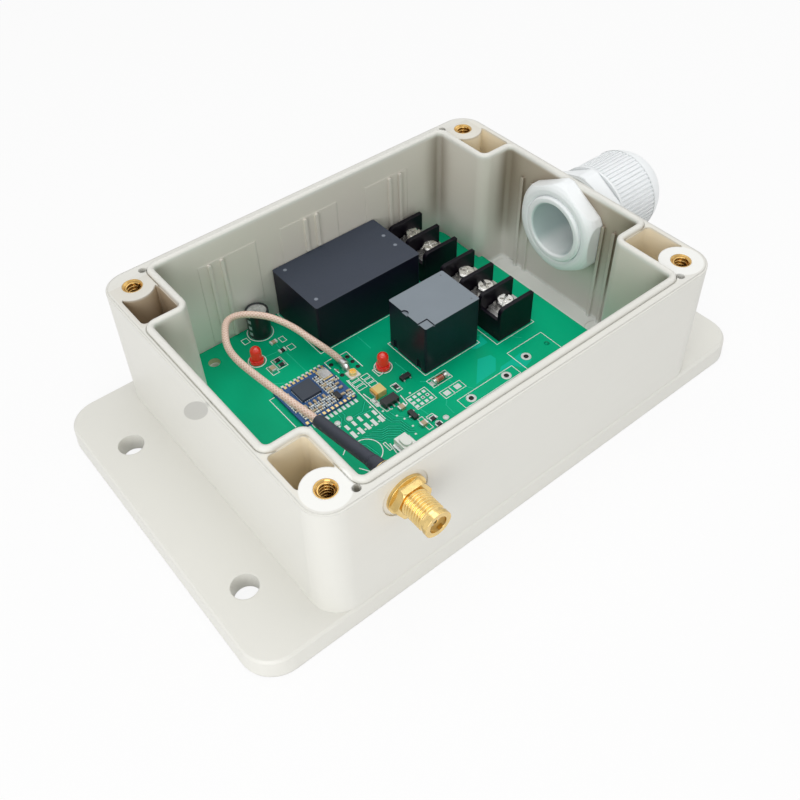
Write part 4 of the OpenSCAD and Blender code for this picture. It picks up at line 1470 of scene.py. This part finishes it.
@dataclass
class Shell:
    """The housing and its threaded inserts."""

    corner: tuple[float, float] = (51.25, 38.05)
    insert_low: float = 31.2
    insert_bore: float = 1.72
    thread_length: float = 7.4
    thread_turns: float = 8.0
    thread_ridge: float = 0.34

    def build(self) -> None:
        """Dresses the housing and cuts threads in the inserts."""
        dress(SHELL, "enclosure_base")
        dress(BRASS, "brass_inserts")
        x, y = self.corner
        spots = [(sx * x, sy * y, self.insert_low) for sx in (-1, 1) for sy in (-1, 1)]
        sizes = {"Radius": self.insert_bore * MM, "Length": self.thread_length * MM,
                 "Turns": self.thread_turns, "Ridge": self.thread_ridge * MM}
        piece = thread_tree().grow("insert_threads", points_at(spots), BRASS, sizes)
        piece.data.shade_smooth()
        settle(piece)


@dataclass
class Board:
    """The main board: mask, silk lines, bare pads, tracks, and holes drawn as dark discs of painted shade."""

    top: float = 7.2
    line: tuple[float, float] = (0.26, 0.05)
    track: tuple[float, float] = (0.3, 0.03)
    gap: tuple[float, float] = (0.56, 0.016)
    pour_t: float = 0.01
    pad_t: float = 0.06
    hole_t: float = 0.09
    tent_t: float = 0.03
    boxes: tuple[tuple[float, float, float, float], ...] = (
        (-14.3, 19.4, 20.6, 39.9), (1.5, -4.5, 20.3, 10.9), (23.3, -8.1, 36.9, 17), (23.3, 22.1, 36.9, 39.5),
        (23, -20.2, 35.4, -12.2), (2, -19.6, 20.8, -16.2), (-7.4, -12.2, -1.3, -7.4),
        (0.4, -9.2, 6.6, -6.2), (0.3, -14, 7, -11.3), (-14.6, -4.9, -13.4, -2.2),
        (-20.9, -17.9, -20.2, -15.2), (-9.6, -19, -8.2, -14.6), (-26, 21.7, -23.2, 25.6),
        (-28.3, 20.9, -26.4, 24.3), (-7.7, -4.3, -5.9, -1.5), (-7.7, 3.1, -6.1, 5.9),
        (-14.7, 5.6, -12.2, 6.9), (-14.7, 3.9, -12.2, 5.2), (-14.7, 2.2, -12.2, 3.5),
        (-11.6, 4.6, -9.4, 5.9), (-11.6, 2.9, -9.4, 4.2), (-11.6, 1.2, -9.4, 2.5),
        (-19.6, 29.6, -18.2, 31.6), (-27.8, 35.3, -26.1, 37.3), (-19.7, 25.7, -17.9, 27.6))
    strokes: tuple[tuple[tuple[float, float], ...], ...] = (
        ((-32.4, 14.3), (-33.9, 14.3), (-33.9, 2.6)), ((-15, 7.2), (-15.5, -9.4)),
        ((-14.6, 0.8), (-13.7, -7.7), (-12, -7.9)), ((-10, -8.9), (-8.2, -9.1)), ((-8.2, -9.1), (-7.7, -5.6)),
        ((-13.2, 16.1), (-15.6, 16.1), (-15.6, 13.2)), ((-14.9, 12.6), (-14.8, 10.6)),
        ((-11.2, 15.7), (-8.7, 15.7), (-8.7, 8.6)),
        ((-7.5, -16.2), (-7.5, -15.4), (-5.6, -15.4), (-5.3, -17.2)),
        ((3.3, -11.3), (3.3, -14)), ((1.9, -6.2), (1.9, -9.2)), ((-19.6, -16.2), (-20.2, -19.9)),
        ((-29.2, -8.3), (-28.6, -9.4), (-28.7, -10.6), (-30.3, -11.8)), ((-29.8, -17.4), (-28.2, -20.2)))
    circles: tuple[tuple[float, float, float, float, float], ...] = (
        (-21.9, 36.8, 3.55, 112, 428), (-28.6, 28.1, 2.35, 0, 360), (-4.8, 5, 2.35, 0, 360),
        (-25.4, -14.6, 3.9, -90, 90))
    long_pads: tuple[Point, ...] = ((-24.5, -8.4), (-22.4, -8.5), (-20.3, -8.4), (-18.3, -8.5), (-16.3, -8.6))
    mid_pads: tuple[Point, ...] = (
        (-20.3, -5.4), (-18.3, -5.7), (-16.3, -6), (-22.3, -5.6), (-24.4, -5.6), (-14, -2.9), (-14, -4.3),
        (-27.2, -4.6), (-27.4, -7.6))
    dots: tuple[Point, ...] = (
        (-23.4, -8.8), (-21.3, -8.9), (-19.3, -8.9), (-17.2, -9), (-16, -3.9), (-14.4, -7), (-12.7, -10.4),
        (-11.9, -12.4), (-11.8, -15.5), (-25.6, -4.1), (-12.9, -17.9), (-5.4, -6.6))
    wide_pads: tuple[Point, ...] = ((1.75, -12.65), (5.25, -12.65), (1.15, -7.8), (5.75, -7.8), (-6.4, -16.7))
    square_grid: tuple[float, float, float, float, int, int] = (-6.82, -11.31, 1.48, 1.46, 4, 3)
    discs: tuple[Point, ...] = ((-22.2, -3.6), (-25.4, -2.9), (-6.4, -18.7), (-3.8, -18.6))
    ring_pads: tuple[Point, ...] = ((26, -16.2), (5.2, -17.9), (17.3, -17.9))
    pin_rings: tuple[Point, ...] = ((-14.7, 9.5), (-14.7, 14.3), (-9.7, 9.4), (-9.7, 11.7), (-9.7, 13.9))
    vias: tuple[Point, ...] = ((-2.4, -9.85), (-3.85, -9.85))
    tented: tuple[Point, ...] = ((33.6, -16.2),)
    edge_grid: tuple[float, float, float, float, int, int] = (-31.35, 0.15, 1.27, 15.6, 12, 2)
    tracks: tuple[tuple[tuple[float, float], ...], ...] = (
        ((-19.1, -10.8), (-18.1, -11.6), (-16.4, -11.6), (-14, -13.6), (-13.7, -16.3), (-12.5, -17.3)),
        ((-20.6, -10.5), (-18.7, -12.1), (-16.9, -12.1), (-14.5, -14.2), (-14.3, -16.3)),
        ((-21.5, -10.7), (-19.1, -12.7), (-17.3, -12.8), (-15, -14.7), (-14.9, -16.5)),
        ((-22.5, -10.6), (-19.5, -13.2), (-18, -13.3), (-15.7, -15.2), (-15.6, -16.6)),
        ((-23.5, -10.4), (-20, -13.7), (-18.6, -13.8), (-16.3, -15.6)),
        ((-22.2, -12.6), (-20.5, -14.3), (-19.1, -14.4), (-17.2, -15.9)),
        ((-15.8, -2.7), (-16, -6), (-15, -11.2), (-13.5, -12.4), (-13.1, -15.8), (-12.2, -16.6)),
        ((-14.9, -6), (-14.4, -10.9), (-12.9, -12.3), (-12.6, -15.3)),
        ((-13.3, -8.4), (-13.1, -10.4), (-11, -12.5), (-10.6, -14.2)),
        ((-15.9, -1.6), (-17.6, -3.1), (-18.4, -3.9), (-21.4, -3.7)),
        ((-16.5, -4.8), (-19.8, -4.2), (-21, -4.9)),
        ((-23.7, -0.4), (-23.7, -2.4), (-24.7, -3.6), (-26.2, -5)),
        ((-22.5, -0.5), (-22.4, -2), (-23.5, -3.3), (-23.4, -4.8)),
        ((-26, -10.8), (-24.1, -13), (-23.6, -17)), ((-27, -11), (-25, -13.6), (-24.6, -18)))
    chips: tuple[tuple[str, float, float, Finish, Slot], ...] = (
        ("lamp_capacitor", -21.5, 31.0, CERAMIC, Slot.CERAMIC),
        ("lamp_resistor", -21.4, 26.9, SMALL_BLACK, Slot.RESISTOR))
    chip_size: tuple[float, float, float] = (1.1, 1.1, 0.5)
    chip_end: tuple[float, float, float] = (0.5, 1.2, 0.55)
    chip_reach: float = 0.75
    joins: tuple[tuple[tuple[float, float], ...], ...] = (
        ((-21, 25.6), (-21, 16.4)), ((-26.9, 28.1), (-21.3, 27.3), (-21.3, 30)),
        ((-1.4, 4.4), (-1.3, -0.4)), ((-0.9, -5.2), (0.3, -6.2)), ((5.1, -9.4), (5.2, -11.1)),
        ((0.3, -14.2), (-1.1, -15.5), (-1.4, -18.8)), ((-6.9, -12.4), (-6.5, -15)), ((6.9, -14), (7.9, -16)),
        ((21.2, -2), (24, -3.2), (30, -10.4)), ((-3, 12.5), (-3, 18.4)), ((8.5, 12.6), (8.5, 17.6)),
        ((-32.5, 20), (-27.6, 16.8)))
    pours: tuple[tuple[tuple[float, float], ...], ...] = (
        ((15.7, -8.8), (19.3, -9.8), (19.5, -11.6), (16.4, -14.9), (9.4, -15.2)),
        ((16.8, -15.9), (18.4, -14.7), (22.4, -14.6), (25.7, -14.3), (27.6, -15.9), (26.1, -18.1),
         (22.8, -18.9), (20.8, -16.1)),
        ((17, -4.9), (18.2, -5.8), (22, -5.9), (22.4, -2.4), (20.8, -3.8)))

    def level(self, *groups: Iterable[Point]) -> list[Point]:
        """Returns the places of all groups at the board's top."""
        return [(x, y, self.top) for group in groups for x, y in group]

    def lines(self, runs: Iterable[Iterable[Point]]) -> bpy.types.Object:
        """Returns a curve object of runs that lie on the board."""
        return lines_at([self.level(run) for run in runs])

    def print_silk(self, strips: Grower) -> None:
        """Prints the silk boxes, strokes and circles.

        Args:
            strips: The tree for flat strips.
        """
        runs = (("silk_boxes", lines_at([rectangle(*box, self.top) for box in self.boxes], closed=True)),
                ("silk_strokes", self.lines(self.strokes)),
                ("silk_circles", lines_at([arc(*circle, self.top) for circle in self.circles])))
        for name, curves in runs:
            strips.lay(name, curves, SILK, Slot.NYLON, *self.line)

    def lay_copper(self, strips: Grower) -> None:
        """Lays the masked tracks, the bare gaps beside them and the wider poured areas.

        Args:
            strips: The tree for flat strips.
        """
        strips.lay("track_gaps", self.lines(self.tracks), TRACK_GAP, Slot.MASK, *self.gap)
        strips.lay("masked_tracks", self.lines((*self.tracks, *self.joins)), TRACK, Slot.MASK, *self.track)
        areas = bmesh.new()
        for outline in self.pours:
            low, high = [[areas.verts.new(mm(x, y, self.top + rise)) for x, y in outline]
                         for rise in (-self.pour_t, self.pour_t)]
            areas.faces.new(high)
            areas.faces.new(low)
            for i, corner in enumerate(low):
                areas.faces.new((high[i], high[i - 1], low[i - 1], corner))
        bmesh.ops.recalc_face_normals(areas, faces=areas.faces)
        settle(close_mesh("poured_areas", areas, POUR))

    def plate_pads(self, boxes: Grower) -> None:
        """Lays the bare pads.

        Args:
            boxes: The tree for boxes.
        """
        sets = (("long_pads", self.long_pads, 0.95, 2.3), ("mid_pads", self.mid_pads, 0.8, 1.7),
                ("square_pads", grid(*self.square_grid), 0.9, 0.9), ("dots", self.dots, 0.5, 0.5),
                ("wide_pads", self.wide_pads, 1.7, 1.5), ("edge_pads", grid(*self.edge_grid), 0.75, 1.3))
        for name, places, length, width in sets:
            boxes.lay(name, points_at(self.level(places)), PAD, Slot.TIN, length, width, self.pad_t)

    def place_chips(self, boxes: Grower) -> None:
        """Places the capacitor and the resistor beside the first lamp, with their tinned ends.

        Args:
            boxes: The tree for boxes.
        """
        z = self.top + self.chip_size[2] / 2
        for name, x, y, finish, slot in self.chips:
            boxes.lay(name, points_at([(x, y, z)]), finish, slot, *self.chip_size)
            ends = [(x + side * self.chip_reach, y, z) for side in (-1, 1)]
            boxes.lay(name + "_ends", points_at(ends), PAD, Slot.TIN, *self.chip_end)

    def ring_holes(self, rings: Grower) -> None:
        """Lays the round pads, the rings round the holes and, where the holes are, dark discs of painted
        shade, and closes one with mask.

        Args:
            rings: The tree for flat rings.
        """
        # Painted shade: dark discs where the holes are.
        flats = (("round_pads", self.discs, PAD, Slot.TIN, 0.4, 0.8, self.pad_t),
                 ("ring_pads", self.ring_pads, PAD, Slot.TIN, 1.02, 0.7, self.pad_t),
                 ("ring_holes", self.ring_pads, HOLE_SHADE, Slot.TIN, 0.34, 0.68, self.hole_t),
                 ("pin_holes", self.pin_rings, HOLE_SHADE, Slot.TIN, 0.3, 0.6, self.hole_t),
                 ("via_holes", self.vias, HOLE_SHADE, Slot.TIN, 0.12, 0.24, self.hole_t),
                 ("tented_hole", self.tented, MASK, Slot.MASK, 0.38, 0.76, self.tent_t))
        for name, places, finish, slot, *sizes in flats:
            rings.lay(name, points_at(self.level(places)), finish, slot, *sizes)

    def build(self) -> None:
        """Dresses the board and makes what is printed, plated and etched on it."""
        dress(MASK, "circuit_board")
        dress(PLATED, "board_screws")
        strips, boxes = strip_tree(), box_tree()
        self.print_silk(strips)
        self.lay_copper(strips)
        self.plate_pads(boxes)
        self.place_chips(boxes)
        self.ring_holes(ring_tree())


@dataclass
class RadioModule:
    """The small radio board with its pads, chip, crystal and tiny parts."""

    top: float = 8.0
    chip_at: tuple[float, float] = (-25.45, 10.15)
    chip_half: float = 2.85
    legs: int = 9
    leg_pitch: float = 0.55
    leg: tuple[float, float, float] = (0.3, 0.3, 0.16)
    fields: tuple[tuple[float, float, float, float, int, int], ...] = (
        (-31.3, 5.9, 1, 0.8, 1, 11), (-30.7, 2.5, 1.15, 0.8, 9, 4), (-21.4, 6, 1.1, 0.8, 5, 9))
    bare: tuple[float, float] = (-18.4, 8.2)
    foot: tuple[float, float, float, float, int, int] = (-18.1, 1.6, 1.1, 0.8, 2, 3)
    crystal: tuple[float, float] = (-20, 9.6)
    part: tuple[float, float, float] = (0.5, 0.42, 0.34)
    part_end: tuple[float, float, float] = (0.24, 0.48, 0.4)
    part_reach: float = 0.34
    part_z: float = 8.2
    power_at: Point = (-20.4, 3.6, 8.4)
    power_size: tuple[float, float, float] = (1.3, 2.4, 0.8)
    rim_at: Point = (-18.5, 12, 8)
    rim_size: tuple[float, float, float] = (3.1, 3.7, 0.5)

    def leg_spots(self) -> list[Point]:
        """Works out where the solder ends round the chip are.

        Returns:
            Their places, in millimetres.
        """
        cx, cy = self.chip_at
        steps = [(i - (self.legs - 1) / 2) * self.leg_pitch for i in range(self.legs)]
        h = self.chip_half
        return [(cx + s, cy + d * h, self.top) for s in steps for d in (-1, 1)] + \
            [(cx + d * h, cy + s, self.top) for s in steps for d in (-1, 1)]

    def part_spots(self) -> list[Point]:
        """Fills the free areas with tiny parts, but for a bare corner and the crystal's place.

        Returns:
            Their places, in millimetres.
        """
        bare_x, bare_y = self.bare
        crystal_x, crystal_y = self.crystal
        spots = [(x, y) for part in self.fields for x, y in grid(*part) if x < bare_x or y > bare_y]
        spots += grid(*self.foot)
        return [(x, y, self.part_z) for x, y in spots if x <= crystal_x or y <= crystal_y]

    def build(self) -> None:
        """Dresses the radio board and adds its solder ends and parts."""
        dress(BLUE_BOARD, "radio_board")
        dress(GOLD_PADS, "radio_pads")
        dress(CHIP, "radio_chip")
        dress(ALUMINIUM, "radio_crystal")
        dress(CERAMIC, "radio_parts")
        boxes = box_tree()
        spots = self.part_spots()
        ends = [(x + side * self.part_reach, y, z) for x, y, z in spots for side in (-1, 1)]
        pieces = (("chip_solder_ends", self.leg_spots(), PAD, Slot.TIN, self.leg),
                  ("pale_part_bodies", spots[0::3], CERAMIC, Slot.CERAMIC, self.part),
                  ("dark_part_bodies", spots[1::3], SMALL_BLACK, Slot.RESISTOR, self.part),
                  ("white_part_bodies", spots[2::3], PAD, Slot.TIN, self.part),
                  ("tiny_part_ends", ends, PAD, Slot.TIN, self.part_end),
                  ("power_chip", [self.power_at], SMALL_BLACK, Slot.RESISTOR, self.power_size),
                  ("crystal_rim", [self.rim_at], GOLD_PADS, Slot.GOLD, self.rim_size))
        for name, places, finish, slot, sizes in pieces:
            boxes.lay(name, points_at(places), finish, slot, *sizes)


@dataclass
class Plain:
    """CAD nodes that keep their shape and only take a finish."""

    finishes: tuple[tuple[Finish, tuple[str, ...]], ...] = (
        (MODULE, ("power_module_case",)),
        (RELAY, ("relay_cover",)),
        (SMALL_BLACK, ("relay_base", "voltage_regulator", "small_transistors", "chip_resistors")),
        (COPPER, ("relay_coil",)),
        (IRON, ("relay_core", "relay_yoke", "relay_armature")),
        (CONTACT, ("relay_contacts",)),
        (BLACK, ("two_way_terminal_body", "three_way_terminal_body")),
        (TINNED, ("two_way_terminal_strips", "three_way_terminal_strips", "power_module_pins",
                  "through_hole_leads", "part_terminals", "button_legs")),
        (CAP_SLEEVE, ("capacitor_sleeve",)),
        (ALUMINIUM, ("capacitor_can",)),
        (RED_LENS, ("indicator_lamps",)),
        (YELLOW, ("tantalum_capacitor",)),
        (CERAMIC, ("chip_capacitors",)),
        (GLASS, ("glass_diode",)),
        (WHITE_PLASTIC, ("button_frame", "button_plunger")),
        (GOLD, ("bulkhead_body", "bulkhead_nut", "bulkhead_washer", "bulkhead_contact")),
        (PTFE, ("bulkhead_insulator",)),
        (NYLON, ("gland_locknut", "gland_dome_nut")),
        (BORED_NYLON, ("gland_body",)),
        (NYLON_WASHER, ("gland_seal_washer",)),
        (RUBBER, ("gland_seal_insert",)),
    )
    ways: int = 5

    def build(self) -> None:
        """Dresses every node in the list, and the terminals' plates and screws."""
        for finish, names in self.finishes:
            dress(finish, *names)
            log.info("%s: %s", finish.name, ", ".join(names))
        for i in range(1, self.ways + 1):
            dress(PLATED, f"clamp_plate_{i}")
            dress(NICKEL, f"terminal_screw_{i}")


def main() -> None:
    """Builds the studio and the sub-assemblies in order."""
    logging.basicConfig(level=logging.INFO, format="%(message)s")
    for part in (Studio(), CoaxLead(), Shell(), Board(), RadioModule(), Plain()):
        part.build()
        log.info("built %s", type(part).__name__)


if __name__ == "__main__":
    main()
